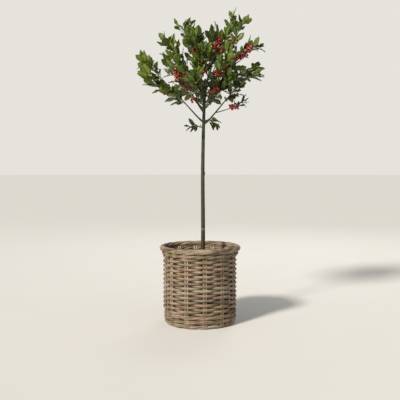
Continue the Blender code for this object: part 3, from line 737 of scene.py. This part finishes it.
LIMBS["trunk"] = trunk_path()
for name in BOUGHS:
    LIMBS[name] = bough_path(name)
for name, row in BOUGHS.items():
    first = leave_side(row.carrier, row.share, direction_of(row.heading, row.rise))[1]
    points, radii = smooth_path(*LIMBS[name])
    points.insert(0, points[0] - first * BOUGH_ROOT)
    radii[0] *= BOUGH_SWELL
    radii[1] *= blend(BOUGH_SWELL, 1.0, 0.6)
    radii.insert(0, radii[0])
    limb_rings = round_rings(points, radii, BOUGH_SIDES, first)
    for ring, middle in zip(limb_rings, points):
        roughen(ring, middle, PORE_RELIEF)
    add_rings(bark_store, limb_rings, BOUGH_TONE)
make_piece("stem_and_boughs", bark_store, [
    smooth_bark("green-brown bark", "#3a3b1a", "#181908", "#6e6a4c"),
    smooth_bark("pale green bark", "#77802f", "#555d1e", "#8a8468"),
    smooth_bark("young green bark", "#42431e", "#23240d", "#736c4c"),
], ["trunk", *BOUGHS])


# Twigs
# Each bough ends in a shoot that carries side shoots, and these carry short twigs of this year's
# growth, green or purple. The rule that they grow by also gives every leaf its place in a spiral.
SHOOT_RADIUS = 0.0023
SIDE_SHOOT_RADIUS = 0.0016
SHOOT_TAPER = 0.60
SIDE_SHOOT_TAPER = 0.70
SHOOT_BEND = 0.30             # share of its length in which a stem carries straight on
STEM_STEPS = 4
SHOOT_STEPS = 2
SHOOT_EVERY = 3               # a side shoot from every third leaf
SIDE_WAY = (0.75, 0.85, 0.25)         # a side shoot's way: along its parent, outwards and up
SIDE_LENGTHS = (1.1, 0.7)             # its length at the foot and at the tip of its parent
SIDE_LENGTH_STRAY = 0.15
SIDE_HANDLE = (0.35, 0.90, 0.0)       # the way that it sets out in
SIDE_HANDLE_REACH = 0.4
LEAF_LENGTH = 0.053
LEAF_WIDTH_SHARE = 0.50
LEAF_WIDEST = 0.54            # share of its length where a leaf is widest
LEAF_FOLD = 0.20              # rise of its edges over its middle, as a share of its half width
LEAF_DROOP = 0.07             # fall of its tip, as a share of its length
LEAF_THICKNESS = 0.0014
LEAF_CREST = 0.48             # share of its length where it is thickest
LEAF_CREST_RISE = 0.45        # share of its thickness over the middle, the rest is under it
LEAF_FOOT = 0.3               # share of the way to its crest where it has left the twig
LEAF_SPACING = 0.0165         # from one leaf to the next along a twig
LEAF_TURN = math.radians(137.5)
LEAF_TURN_STRAY = 0.25
LEAF_PITCH = (64.0, 30.0)     # degrees off the shoot, at its foot and at its tip
LEAF_PITCH_STRAY = 10.0
LEAF_STRAY = 0.12             # how far a leaf's way wanders
LEAF_TILT = 0.60              # and the way its upper side faces
LEAF_TRIES = 9
LEAF_TURN_AGAIN = 0.35        # the most that each new try turns it round the twig
LEAF_SHRINK = 0.03            # and makes it smaller
LEAF_SIZES = (0.84, 1.12)
LEAF_FACE = (0.30, 0.45, 0.50)        # its upper side faces: along the twig, outwards and up
LEAF_FIRST = (0.8, 0.6)       # spacings left free at the foot of a shoot, and in all
TIP_LEAVES = 2
TIP_SPACING = 0.0035
BERRY_RADIUS = 0.0045
BERRY_GROUP = 3
BERRY_TURN = 2.1              # round the twig from one berry to the next
BERRY_FIRST_TURN = 1.0        # from the leaf to the first berry
BERRY_SEAT = 0.9              # of its radius, from the twig's middle to its own
BERRY_STEP = 1.25             # of its radius, from one berry to the next down the twig
BERRY_APART = 2.1             # of its radius, between two of them
BERRY_TOP = 0.93              # none stand past this share of a shoot
BERRY_GAP = 0.0005            # from a berry to the nearest leaf
KEEP_APART = 0.0022           # between the spaces of two masses of foliage
LIMB_MARGIN = 0.0010          # from a leaf or twig to the nearest limb
TWIG_MARGIN = 0.0020          # round a side shoot, inside its mass's space
DRAW = 1                      # the seeded rule's draw
FINE_TWIG = 0.026             # this year's short twigs
FINE_RADIUS = 0.0009
FINE_EVERY = 2                # one by every second leaf
FINE_LEAF = 0.68              # size of the leaves on them
FINE_TURNS = (1.9, 4.4)       # round the shoot, from the leaf that they stand by
FINE_WAY = (0.7, 0.8, 0.25)   # their way: along the shoot, outwards and up
FINE_LENGTHS = (0.7, 1.2)
FINE_PLACES = (0.45, 0.7, 0.96, 1.0)  # where their leaves stand, as shares of their length
FINE_PITCH = (58.0, -11.0)    # degrees off the twig: of the first leaf, and more for each next
FINE_PITCH_STRAY = 12.0
FINE_LEAF_SIZES = (0.75, 1.25)
FINE_TRIES = 4
FINE_TAPER = 0.8
TWIG_ROOT = 0.003             # how far a twig's bark goes into what carries it
TWIG_TIP = 0.5                # its last radius, as a share
TWIG_SIDES = 8
# Masses of foliage: what carries each, how far along it, heading, rise and length of its stem,
# length of its side shoots, number of berries, size of its leaves, how much they lift to the
# light, and the share of the stem's tip that is bare
Mass = namedtuple("Mass", "carrier share heading rise length shoots berries size lift bare_tip",
                  defaults=(1.0, 0.20, 0.0))
MASSES = {
    "left_long_foliage": Mass("left_low_bough", 1.0, 191, 45, 0.205, 0.062, 3, 1.05, 0.10),
    "left_mid_foliage": Mass("left_mid_bough", 1.0, 196, 50, 0.140, 0.050, 5),
    "left_upper_foliage": Mass("left_upper_bough", 1.0, 186, 60, 0.138, 0.050, 2, 1.0, 0.25),
    "top_left_foliage": Mass("left_leader", 1.0, 160, 73, 0.182, 0.045, 2, 0.95),
    "front_top_foliage": Mass("front_top_bough", 1.0, 236, 66, 0.120, 0.050, 4),
    "front_upper_foliage": Mass("front_upper_bough", 1.0, 318, 64, 0.110, 0.048, 5),
    "front_middle_foliage": Mass("front_middle_bough", 1.0, 268, 50, 0.110, 0.050, 5),
    "top_middle_foliage": Mass("right_leader", 1.0, 60, 82, 0.130, 0.045, 2, 0.95),
    "top_right_foliage": Mass("top_right_bough", 1.0, 16, 70, 0.229, 0.040, 3, 0.85, 0.20, 0.26),
    "right_top_foliage": Mass("right_top_bough", 1.0, 355, 66, 0.165, 0.045, 3, 0.95, 0.30),
    "right_upper_foliage": Mass("right_upper_bough", 1.0, 355, 37, 0.166, 0.050, 9, 0.95, 0.10),
    "right_mid_foliage": Mass("right_mid_bough", 1.0, 5, 32, 0.165, 0.045, 1, 0.95),
    "right_low_foliage": Mass("right_low_bough", 1.0, 335, 46, 0.080, 0.034, 0, 0.75, 0.10),
    "right_sprig_foliage": Mass("right_sprig_bough", 1.0, 344, 28, 0.050, 0.0, 2, 0.5, 0.30),
    "front_left_foliage": Mass("front_left_bough", 1.0, 216, 48, 0.135, 0.050, 5, 1.05),
    "front_right_foliage": Mass("front_right_bough", 1.0, 306, 50, 0.130, 0.050, 4, 1.05),
    "front_low_foliage": Mass("front_bough", 1.0, 254, 30, 0.110, 0.050, 1, 1.0, 0.15),
    "back_low_foliage": Mass("back_bough", 1.0, 88, 26, 0.120, 0.050, 1, 1.0, 0.15),
    "back_left_foliage": Mass("back_left_bough", 1.0, 150, 46, 0.150, 0.050, 1),
    "back_right_foliage": Mass("back_right_bough", 1.0, 32, 46, 0.150, 0.050, 2),
    "back_top_foliage": Mass("back_top_bough", 1.0, 112, 62, 0.130, 0.050, 1),
    "lower_left_foliage": Mass("trunk", 0.808, 196, 12, 0.030, 0.0, 0, 0.75, -0.25),
    "lower_right_foliage": Mass("trunk", 0.848, 310, 0, 0.042, 0.0, 0, 0.75, -0.55),
    "inner_left_foliage": Mass("trunk", 0.938, 240, 44, 0.072, 0.035, 0, 0.85, 0.10),
    "inner_right_foliage": Mass("trunk", 0.952, 306, 44, 0.072, 0.035, 1, 0.85, 0.10),
    "inner_back_foliage": Mass("trunk", 0.945, 130, 44, 0.072, 0.035, 0, 0.85, 0.10),
}

# Places seen from the front where sky shows through the head: x, z and radius
SKY_GAPS = (
    (-0.112, 0.902, 0.024),
    (0.137, 0.950, 0.013),
    (-0.034, 0.843, 0.013),
)
STEMS = {}


def stem_path(name):
    """The stem carries on from its bough's tip, or leaves the trunk's side, and bends to its way."""
    row = MASSES[name]
    way = direction_of(row.heading, row.rise)
    start, out = leave_side(row.carrier, row.share, way)[:2]
    handle = start + out * SHOOT_BEND * row.length
    return curve(start, handle, start + way * row.length, STEM_STEPS)


def distance_to(point, path):
    """Shortest distance from a point to a path."""
    best = math.inf
    for a, b in zip(path, path[1:]):
        span = b - a
        share = (point - a).dot(span) / span.length_squared
        share = max(0.0, min(1.0, share))
        best = min(best, (point - a - span * share).length)
    return best


def has_room(name, point, margin):
    """True where a ball keeps to the mass's own space, clear of limbs and of the sky gaps."""
    for x, z, radius in SKY_GAPS:
        if math.hypot(point.x - x, point.z - z) < radius:
            return False
    own = distance_to(point, STEMS[name])
    for other, path in STEMS.items():
        if other != name and distance_to(point, path) < own + KEEP_APART + 2.0 * margin:
            return False
    for points, radii in LIMBS.values():
        if distance_to(point, points) < max(radii[1:]) + margin + LIMB_MARGIN:
            return False
    return True


def leaf_points(root, way, face, length):
    """Root, both sides, tip, top and underside of one kite-shaped leaf, folded along its middle."""
    across = way.cross(face)
    half = LEAF_WIDTH_SHARE * length / 2.0
    middle = root + way * LEAF_WIDEST * length
    fold = face * LEAF_FOLD * half
    tip = root + way * length - face * LEAF_DROOP * length
    centre = root + way * LEAF_CREST * length
    top = centre + face * LEAF_CREST_RISE * LEAF_THICKNESS
    under = centre - face * (1.0 - LEAF_CREST_RISE) * LEAF_THICKNESS
    return root, middle + across * half + fold, middle - across * half + fold, tip, top, under


def blade_tree(corners):
    """The leaf's outline, short of its root, as a surface that can be tested against others."""
    root, left, right, tip, top, under = corners
    foot = root.lerp(top, LEAF_FOOT)
    return BVHTree.FromPolygons([foot, left, tip, right], [(0, 1, 2), (0, 2, 3)])


def leaf_fits(name, plan, corners):
    """True where a leaf keeps to its space and crosses no leaf, twig or berry of its own mass."""
    root, left, right, tip, top, under = corners
    tests = [tip, left, right, top, top.lerp(tip, 0.5)]
    tests += [left.lerp(tip, 0.5), right.lerp(tip, 0.5), left.lerp(root, 0.5), right.lerp(root, 0.5)]
    if not all(has_room(name, point, 0.0) for point in tests):
        return False
    tree = blade_tree(corners)
    for centre in plan["berries"]:
        if tree.find_nearest(centre, BERRY_RADIUS + BERRY_GAP)[0] is not None:
            return False
    return not any(tree.overlap(other) for other in plan["trees"])


def weigh(shares, first, second, third):
    """Three values or directions added up by their shares."""
    return first * shares[0] + second * shares[1] + third * shares[2]


def any_way(rng, size):
    """A random direction that is at most so long on each axis."""
    return Vector([rng.uniform(-size, size) for axis in range(3)])


def leaf_pose(rng, spot, along, side, pitch, lift):
    """A leaf's way and the way its upper side faces: up, outwards and a little at random."""
    way = along * math.cos(pitch) + side * math.sin(pitch) + UP * lift + any_way(rng, LEAF_STRAY)
    way.normalize()
    outwards = Vector((spot.x - STEM_OFFSET, spot.y, 0.0)).normalized()
    face = weigh(LEAF_FACE, along, outwards, UP) + any_way(rng, LEAF_TILT)
    face -= way * face.dot(way)
    return way, face.normalized()


def turned(along, side, turn):
    """A direction square to a shoot, turned round it."""
    return side * math.cos(turn) + along.cross(side) * math.sin(turn)


def shoot_nodes(plan, rng, points, bare, turn):
    """The places up a shoot where leaves stand, by the spiral rule, closer together at its tip."""
    total = sum((b - a).length for a, b in zip(points, points[1:])) * (1.0 - bare)
    steps = max(2, round(total / LEAF_SPACING))
    nodes = []
    for step in range(steps + TIP_LEAVES):
        if step < steps:
            share = (step + LEAF_FIRST[0]) / (steps + LEAF_FIRST[1])
        else:
            share = 1.0 - TIP_SPACING * (steps + TIP_LEAVES - step - 0.5) / total
        spot, along = on_path(points, share * (1.0 - bare))
        across = along.orthogonal().normalized()
        turn += LEAF_TURN + rng.uniform(-LEAF_TURN_STRAY, LEAF_TURN_STRAY)
        nodes.append((spot, along, turned(along, across, turn), share))
    plan["nodes"] += nodes
    return nodes, steps


def side_shoot(name, rng, node, length):
    """A side shoot from a leaf's foot, left out where it would leave its mass's space."""
    spot, along, side, share = node
    way = weigh(SIDE_WAY, along, side, UP).normalized()
    stray = rng.uniform(1.0 - SIDE_LENGTH_STRAY, 1.0 + SIDE_LENGTH_STRAY)
    reach = length * blend(*SIDE_LENGTHS, share) * stray
    handle = spot + weigh(SIDE_HANDLE, along, side, UP).normalized() * reach * SIDE_HANDLE_REACH
    points = curve(spot, handle, spot + way * reach, SHOOT_STEPS)
    if not all(has_room(name, point, TWIG_MARGIN) for point in points[1:]):
        return None
    return points, taper(SIDE_SHOOT_RADIUS, SIDE_SHOOT_TAPER, points)


def twig_tree(points):
    """A twig's middle line as a thin ribbon that leaves can be tested against."""
    sideways = (points[-1] - points[0]).orthogonal().normalized() * SIDE_SHOOT_RADIUS
    corners = [point + sideways * way for point in points for way in (-1, 1)]
    strips = [(2 * i, 2 * i + 1, 2 * i + 3, 2 * i + 2) for i in range(len(points) - 1)]
    return BVHTree.FromPolygons(corners, strips)


def place_berries(name, plan, rng, count):
    """Berries sit close against the twigs, up to three together, turned round the twig."""
    spots = [node for node in plan["nodes"] if node[3] < BERRY_TOP]
    rng.shuffle(spots)
    for spot, along, side, share in spots:
        for i in range(BERRY_GROUP):
            if len(plan["berries"]) == count:
                return
            spoke = turned(along, side, BERRY_FIRST_TURN + i * BERRY_TURN)
            down = BERRY_SEAT + BERRY_STEP * i
            centre = spot + (spoke * BERRY_SEAT - along * down) * BERRY_RADIUS
            gaps = [(centre - other).length for other in plan["berries"]]
            near = min(gaps, default=math.inf) < BERRY_APART * BERRY_RADIUS
            if not near and has_room(name, centre, BERRY_RADIUS):
                plan["berries"].append(centre)


def place_leaves(name, plan, rng):
    """One leaf at each node: it is turned, raised or made smaller until it fits, or left out."""
    row = MASSES[name]
    for spot, along, side, share in plan["nodes"]:
        for attempt in range(LEAF_TRIES):
            pitch = blend(*LEAF_PITCH, share) + rng.uniform(-LEAF_PITCH_STRAY, LEAF_PITCH_STRAY)
            turn = rng.uniform(-LEAF_TURN_AGAIN, LEAF_TURN_AGAIN) * attempt
            spoke = turned(along, side, turn)
            way, face = leaf_pose(rng, spot, along, spoke, math.radians(pitch), row.lift)
            length = LEAF_LENGTH * row.size * rng.uniform(*LEAF_SIZES) * (1.0 - LEAF_SHRINK * attempt)
            corners = leaf_points(spot, way, face, length)
            if leaf_fits(name, plan, corners):
                plan["leaves"].append((spot, way, face, length))
                plan["trees"].append(blade_tree(corners))
                break


def plan_mass(name):
    """Every twig, leaf and berry of one mass, by the seeded rule."""
    row = MASSES[name]
    rng = random.Random(f"{name} {DRAW}")
    plan = {"twigs": [], "leaves": [], "nodes": [], "berries": [], "trees": []}
    stem = STEMS[name]
    plan["twigs"].append((stem, taper(SHOOT_RADIUS, SHOOT_TAPER, stem)))
    nodes, steps = shoot_nodes(plan, rng, stem, row.bare_tip, rng.uniform(0.0, FULL_TURN))
    for node in nodes[1:steps:SHOOT_EVERY]:
        shoot = side_shoot(name, rng, node, row.shoots) if row.shoots else None
        if shoot:
            plan["twigs"].append(shoot)
            plan["trees"].append(twig_tree(shoot[0][1:]))
            shoot_nodes(plan, rng, shoot[0], 0.0, rng.uniform(0.0, FULL_TURN))
    place_berries(name, plan, rng, row.berries)
    place_leaves(name, plan, rng)
    return plan


def inside_box(corners):
    """True where a leaf keeps within the furthest tips of the plant."""
    for corner in corners:
        if any(not low <= value <= high for value, low, high in zip(corner, cad_low, cad_high)):
            return False
    return True


def add_fine_twigs(name, plan):
    """This year's short twigs, with small leaves, wherever there is still room for them."""
    row = MASSES[name]
    rng = random.Random(f"{name} fine")
    for spot, along, side, share in plan["nodes"][::FINE_EVERY]:
        turn = rng.uniform(*FINE_TURNS)
        way = weigh(FINE_WAY, along, turned(along, side, turn), UP).normalized()
        tip = spot + way * FINE_TWIG * rng.uniform(*FINE_LENGTHS)
        if not has_room(name, tip, FINE_RADIUS):
            continue
        across = way.orthogonal().normalized()
        leaves_before = len(plan["leaves"])
        for step, place in enumerate(FINE_PLACES):
            root = spot.lerp(tip, place)
            leaf_side = turned(way, across, step * LEAF_TURN + turn)
            for attempt in range(FINE_TRIES):
                stray = rng.uniform(-FINE_PITCH_STRAY, FINE_PITCH_STRAY)
                pitch = math.radians(FINE_PITCH[0] + FINE_PITCH[1] * step + stray)
                leaf_way, face = leaf_pose(rng, root, way, leaf_side, pitch, row.lift)
                length = LEAF_LENGTH * row.size * FINE_LEAF * rng.uniform(*FINE_LEAF_SIZES)
                corners = leaf_points(root, leaf_way, face, length)
                if inside_box(corners) and leaf_fits(name, plan, corners):
                    plan["leaves"].append((root, leaf_way, face, length))
                    plan["trees"].append(blade_tree(corners))
                    break
        if len(plan["leaves"]) > leaves_before:
            radii = [FINE_RADIUS, FINE_RADIUS, FINE_RADIUS * FINE_TAPER]
            plan["twigs"].append(([spot, spot.lerp(tip, 0.5), tip], radii))


twig_store = new_store()
plans = {}
for name in MASSES:
    STEMS[name] = stem_path(name)
for name in MASSES:
    plans[name] = plan_mass(name)
for name, plan in plans.items():
    add_fine_twigs(name, plan)
    for number, (points, radii) in enumerate(plan["twigs"]):
        line, sizes = smooth_path(points, radii)
        line.insert(0, line[0] - (line[1] - line[0]).normalized() * TWIG_ROOT)
        sizes.insert(0, sizes[0])
        sizes[-1] *= TWIG_TIP
        tone = 1 + number % 2 if number else 0      # the shoot's own bark, or a green or purple twig's
        add_rings(twig_store, round_rings(line, sizes, TWIG_SIDES), tone)
make_piece("twigs", twig_store, [
    smooth_bark("shoot bark", "#5f5d2e", "#3e3c1e", "#7d7650"),
    smooth_bark("green twig bark", "#67702e", "#454d20", "#7d7650"),
    smooth_bark("purple twig bark", "#5a4630", "#3b2a20", "#76604a"),
], list(MASSES))


# Leaves
# Thick leathery blades on short stalks, almost without spines: folded along a pale rib, waved at
# the edge, waxy above and dull beneath. Their greens are painted light and shade: lighter yellow-green
# at the top, at the outside and on the left, where the light falls, and darker green within the head.
BLADE_THICKNESS = 0.0005
BLADE_STATIONS = 11
PETIOLE_SHARE = 0.08
PETIOLE_HALF = 0.0007
RIB_REACH = 0.1               # columns nearer than this to the middle make the rib's groove
BLADE_COLUMNS = (-1.0, -0.52, -0.055, 0.055, 0.52, 1.0)
BLADE_SKEW = 1.06             # over 1, a blade is widest past its middle
BLADE_FULLNESS = 0.82         # under 1, its ends are blunter than an ellipse's
BLADE_LEAST = 0.0003          # half width of its very tip
BLADE_LIFT = 0.35             # of its thickness, that its middle stands up
BLADE_RIB = 0.0004            # depth of the groove along its rib
BLADE_WAVE = 0.0011           # how far its edge waves up and down
BLADE_WAVES = 5.0 * math.pi   # how often, as a turn over its length
BLADE_WAVE_LEAN = 1.2         # and how differently on its two sides
BLADE_FIT = 0.965             # of the solid leaf's length and width, to keep within it
RIB_TONE = 5
UNDER_TONES = (6, 7)          # of lit leaves, and the painted shade of shaded ones
DARK_TONES = (3, 4)
PAINTED_LIGHT_SHARES = (0.50, 0.9, -0.9)     # how much of a leaf's painted light comes from height, reach from the stem, and place to the right
TONE_STRAY = 0.28
DARKEST_TONE = 4
TONE_FALL = (3.6, -4.4)       # tone of a leaf without painted light, and how it falls as painted light grows


def blade_half(share, length):
    """Half the width of a blade at a share of its length: a thin stalk, then a long ellipse."""
    if share <= PETIOLE_SHARE:
        return PETIOLE_HALF
    inner = (share - PETIOLE_SHARE) / (1.0 - PETIOLE_SHARE)
    swell = max(0.0, math.sin(math.pi * inner ** BLADE_SKEW)) ** BLADE_FULLNESS
    return max(BLADE_LEAST, LEAF_WIDTH_SHARE * length / 2.0 * swell)


def add_blade(store, leaf, tones, wave):
    """One closed leaf: folded along its rib, waved at its edge and turned down at its tip."""
    root, way, face, length = leaf
    length *= BLADE_FIT
    across = way.cross(face)
    rings = []
    for station in range(BLADE_STATIONS):
        share = station / (BLADE_STATIONS - 1)
        half = blade_half(share, length)
        middle = root + way * share * length - face * LEAF_DROOP * length * share * share
        lift = BLADE_LIFT * LEAF_THICKNESS * math.sin(math.pi * share)
        top = []
        for column in BLADE_COLUMNS:
            rise = LEAF_FOLD * half * column * column + lift
            if half > 2.0 * PETIOLE_HALF:
                rise += BLADE_WAVE * column * column * math.sin(BLADE_WAVES * share + wave * column)
                rise -= BLADE_RIB * (abs(column) < RIB_REACH)
            top.append(middle + across * half * column + face * rise)
        under = [point - face * BLADE_THICKNESS for point in (top[4], top[1])]
        rings.append(top + under)
    upper, rib, lower = tones
    add_rings(store, rings, [upper, upper, rib, upper, upper, lower, lower, lower])


def glossy_leaf(name, light, dark, gloss, coat):
    """Holly leaf: a waxy skin over green, with soft mottling and a finely netted, leathery grain."""
    material, tree, shader, place = begin_material(name, gloss, 1.45)
    shader.inputs["Coat Weight"].default_value = coat
    shader.inputs["Coat Roughness"].default_value = 0.18
    colour = mix(tree, cloud(tree, place, 0.018, 3.0), linear(dark), linear(light))
    dress(tree, shader, colour, cloud(tree, place, 0.0022), strength=0.25, depth=0.0003)
    return material


# The upper sides, from lit yellow-green to shaded dark green as painted light and shade, then the ribs,
# the undersides and the painted-shade undersides
leaf_materials = [
    glossy_leaf("yellow-green leaf", "#859120", "#687916", 0.35, 0.19),
    glossy_leaf("fresh green leaf", "#607314", "#495f0e", 0.34, 0.22),
    glossy_leaf("mid green leaf", "#445a0f", "#31460a", 0.33, 0.25),
    glossy_leaf("deep green leaf", "#2c400c", "#1f3008", 0.32, 0.25),
    glossy_leaf("dark green leaf", "#1c2b09", "#131f06", 0.32, 0.25),
    glossy_leaf("pale rib", "#99a343", "#7c8832", 0.44, 0.11),
    glossy_leaf("leaf underside", "#707f32", "#586826", 0.59, 0.00),
    glossy_leaf("shaded leaf underside", "#49591e", "#344316", 0.59, 0.00),
]


def leaf_tones(leaf, rng):
    """Painted light and shade: leaves at the top, at the outside and on the left, where the light falls,
    are lighter yellow-green, and those within are darker, with a random spread.
    """
    middle = leaf[0] + leaf[1] * leaf[3] * 0.5
    height = (middle.z - FORK_HEIGHT) / (cad_high.z - FORK_HEIGHT)
    reach = math.hypot(middle.x - STEM_OFFSET, middle.y) / (cad_high.x - cad_low.x)
    # painted light: higher, further out and further left gives a lighter green, and painted shade darkens
    # the leaves within the head
    painted_light = weigh(PAINTED_LIGHT_SHARES, height, reach, middle.x) + rng.uniform(-TONE_STRAY, TONE_STRAY)
    upper = min(DARKEST_TONE, max(0, round(TONE_FALL[0] + TONE_FALL[1] * painted_light)))
    return upper, RIB_TONE, UNDER_TONES[upper in DARK_TONES]


leaf_store = new_store()
for name, plan in plans.items():
    rng = random.Random(f"{name} looks")
    for leaf in plan["leaves"]:
        tones = leaf_tones(leaf, rng)
        add_blade(leaf_store, leaf, tones, rng.uniform(-BLADE_WAVE_LEAN, BLADE_WAVE_LEAN))
make_piece("leaves", leaf_store, leaf_materials, [])


# Berries
# Ripe drupes on short stalks, in clusters close against the twigs. The skin is waxy and tight,
# with the dark dried end of the flower at its tip.
BERRY_SIZES = (0.88, 1.02)
BERRY_TONES = 3
CALYX_TONE = 3
STALK_TONE = 4
BERRY_CLUSTER = 8             # berries for each one of the solids, where they find room
BERRY_EXTRA = 30              # tries at each
LONGEST_STALK = 0.013         # from the twig's middle line to a berry's middle
BERRY_LEVELS = (-0.98, -0.8, -0.45, 0.0, 0.45, 0.8, 0.97)
BERRY_SIDES = 12
BERRY_TOUCH = (1.9, 2.05)     # of its radius: the least from one to the next, and what is tried
BERRY_SQUEEZE = 0.6           # of its radius, that it keeps from a leaf
STALK_RADIUS = 0.00045
STALK_END = 0.9               # of a berry's radius, from its middle
CALYX_RADIUS = 0.0008
CALYX_ENDS = (0.93, 1.05)     # of a berry's radius, from its middle
STALK_SIDES = 6               # of a stalk or a dried flower end


def ripe_berry(name, light, dark):
    """A waxy red skin: glossy, with patches of deeper red."""
    material, tree, shader, place = begin_material(name, 0.28, 1.42)
    shader.inputs["Coat Weight"].default_value = 0.5
    shader.inputs["Coat Roughness"].default_value = 0.12
    dress(tree, shader, mix(tree, cloud(tree, place, 0.006), linear(dark), linear(light)))
    return material


def add_berry(store, centre, root, rng):
    """A berry, its stalk from the twig, and the dark dot at its far end."""
    out = (centre - root).normalized()
    across = out.orthogonal().normalized()
    other = out.cross(across)
    radius = BERRY_RADIUS * rng.uniform(*BERRY_SIZES)
    rings = []
    for level in BERRY_LEVELS:
        wide = radius * math.sqrt(1.0 - level * level)
        rings.append([centre + out * radius * level
                      + (across * math.cos(t) + other * math.sin(t)) * wide
                      for t in turns_of(BERRY_SIDES)])
    add_rings(store, rings, rng.randrange(BERRY_TONES))
    ends = [centre + out * radius * share for share in CALYX_ENDS]
    add_rings(store, round_rings(ends, [CALYX_RADIUS] * 2, STALK_SIDES), CALYX_TONE)
    foot = centre - out * radius * STALK_END
    add_rings(store, round_rings([root, foot], [STALK_RADIUS] * 2, STALK_SIDES), STALK_TONE)


def nearest_twig(plan, centre):
    """The point of the twigs' middle lines that is nearest to a berry."""
    spots = []
    for points, radii in plan["twigs"]:
        for a, b in zip(points, points[1:]):
            share = (centre - a).dot(b - a) / (b - a).length_squared
            spots.append(a.lerp(b, max(0.0, min(1.0, share))))
    return min(spots, key=lambda spot: (spot - centre).length)


def more_berries(name, plan, rng):
    """Berries beside those of the solids, so that they hang in small clusters."""
    wanted = BERRY_CLUSTER * len(plan["berries"])
    for attempt in range(BERRY_EXTRA * wanted):
        if len(plan["berries"]) >= wanted:
            return
        away = any_way(rng, 1.0).normalized()
        spot = rng.choice(plan["berries"]) + away * BERRY_RADIUS * BERRY_TOUCH[1]
        apart = min((spot - other).length for other in plan["berries"])
        gap = BERRY_RADIUS * BERRY_SQUEEZE
        clear = all(tree.find_nearest(spot, gap)[0] is None for tree in plan["trees"])
        if apart > BERRY_TOUCH[0] * BERRY_RADIUS and clear and has_room(name, spot, BERRY_RADIUS):
            if (spot - nearest_twig(plan, spot)).length < LONGEST_STALK:
                plan["berries"].append(spot)


berry_store = new_store()
for name, plan in plans.items():
    rng = random.Random(f"{name} berries")
    more_berries(name, plan, rng)
    for centre in plan["berries"]:
        add_berry(berry_store, centre, nearest_twig(plan, centre), rng)
make_piece("berries", berry_store, [
    ripe_berry("red berry", "#a51a16", "#7a100d"),
    ripe_berry("deep red berry", "#841212", "#5e0c0b"),
    ripe_berry("bright red berry", "#bd281c", "#951a13"),
    moist_compost("dried flower end", "#2a1a10", "#140c07"),
    smooth_bark("berry stalk", "#6b6a30", "#4c4a22", "#6b6a30"),
], [])


# Room
# A plain pale floor under soft light from the upper left, seen as the photograph sees it.
EYE = Vector((0.0, -2.4, 0.579))
AIM = Vector((0.0, 0.0, 0.453))
LENS = 58.6
FLOOR_RADIUS = 40.0
FLOOR_SIDES = 64


def pale_plaster():
    """Matt painted plaster for the floor, with a very faint mottling."""
    material, tree, shader, place = begin_material("pale painted plaster", 0.85)
    mottle = cloud(tree, place, 1.0 / 3.0, 4.0)
    dress(tree, shader, mix(tree, mottle, linear("#e2e0db"), linear("#e6e4df")))
    return material


floor_mesh = bpy.data.meshes.new("floor")
floor_ring = [(FLOOR_RADIUS * math.cos(turn), FLOOR_RADIUS * math.sin(turn), 0.0)
              for turn in turns_of(FLOOR_SIDES)]
floor_mesh.from_pydata(floor_ring, [], [tuple(range(FLOOR_SIDES))])
floor_mesh.materials.append(pale_plaster())
floor = bpy.data.objects.new("floor", floor_mesh)
bpy.context.scene.collection.objects.link(floor)

world = bpy.data.worlds.new("pale room")
bpy.context.scene.world = world
world.use_nodes = True
sky = world.node_tree
sky.nodes.clear()
seen = add_node(sky, "ShaderNodeBackground", {"Color": linear("#e6e3dd"), "Strength": 1.0})
lit = add_node(sky, "ShaderNodeBackground", {"Color": linear("#ecebe8"), "Strength": 0.36})
ray = add_node(sky, "ShaderNodeLightPath")
both = add_node(sky, "ShaderNodeMixShader",
                {0: ray.outputs["Is Camera Ray"], 1: lit.outputs[0], 2: seen.outputs[0]})
add_node(sky, "ShaderNodeOutputWorld", {"Surface": both.outputs[0]})


def add_light(name, kind, place, aim, size, power, colour):
    """A soft light: a large square, or a sun whose size is its angle."""
    lamp = bpy.data.lights.new(name, kind)
    if kind == "SUN":
        lamp.angle = size
    else:
        lamp.shape = "SQUARE"
        lamp.size = size
    lamp.energy = power
    lamp.color = linear(colour)[:3]
    holder = bpy.data.objects.new(name, lamp)
    holder.location = place
    holder.rotation_euler = (aim - Vector(place)).to_track_quat("-Z", "Y").to_euler()
    bpy.context.scene.collection.objects.link(holder)


HEART = Vector((0.0, 0.0, 0.65))
add_light("key light", "SUN", (-1.9, -2.3, 2.55), HEART, math.radians(9.0), 3.9, "#fffaf3")
add_light("fill light", "AREA", (2.4, -1.6, 1.6), HEART, 1.6, 5.0, "#f4f2ee")
add_light("back light", "AREA", (0.8, 2.6, 2.4), HEART, 1.2, 16.0, "#ffffff")

camera_data = bpy.data.cameras.new("camera")
camera_data.lens = LENS
camera = bpy.data.objects.new("camera", camera_data)
camera.location = EYE
camera.rotation_euler = (AIM - EYE).to_track_quat("-Z", "Y").to_euler()
bpy.context.scene.collection.objects.link(camera)
bpy.context.scene.camera = camera
bpy.context.scene.view_settings.view_transform = "Standard"
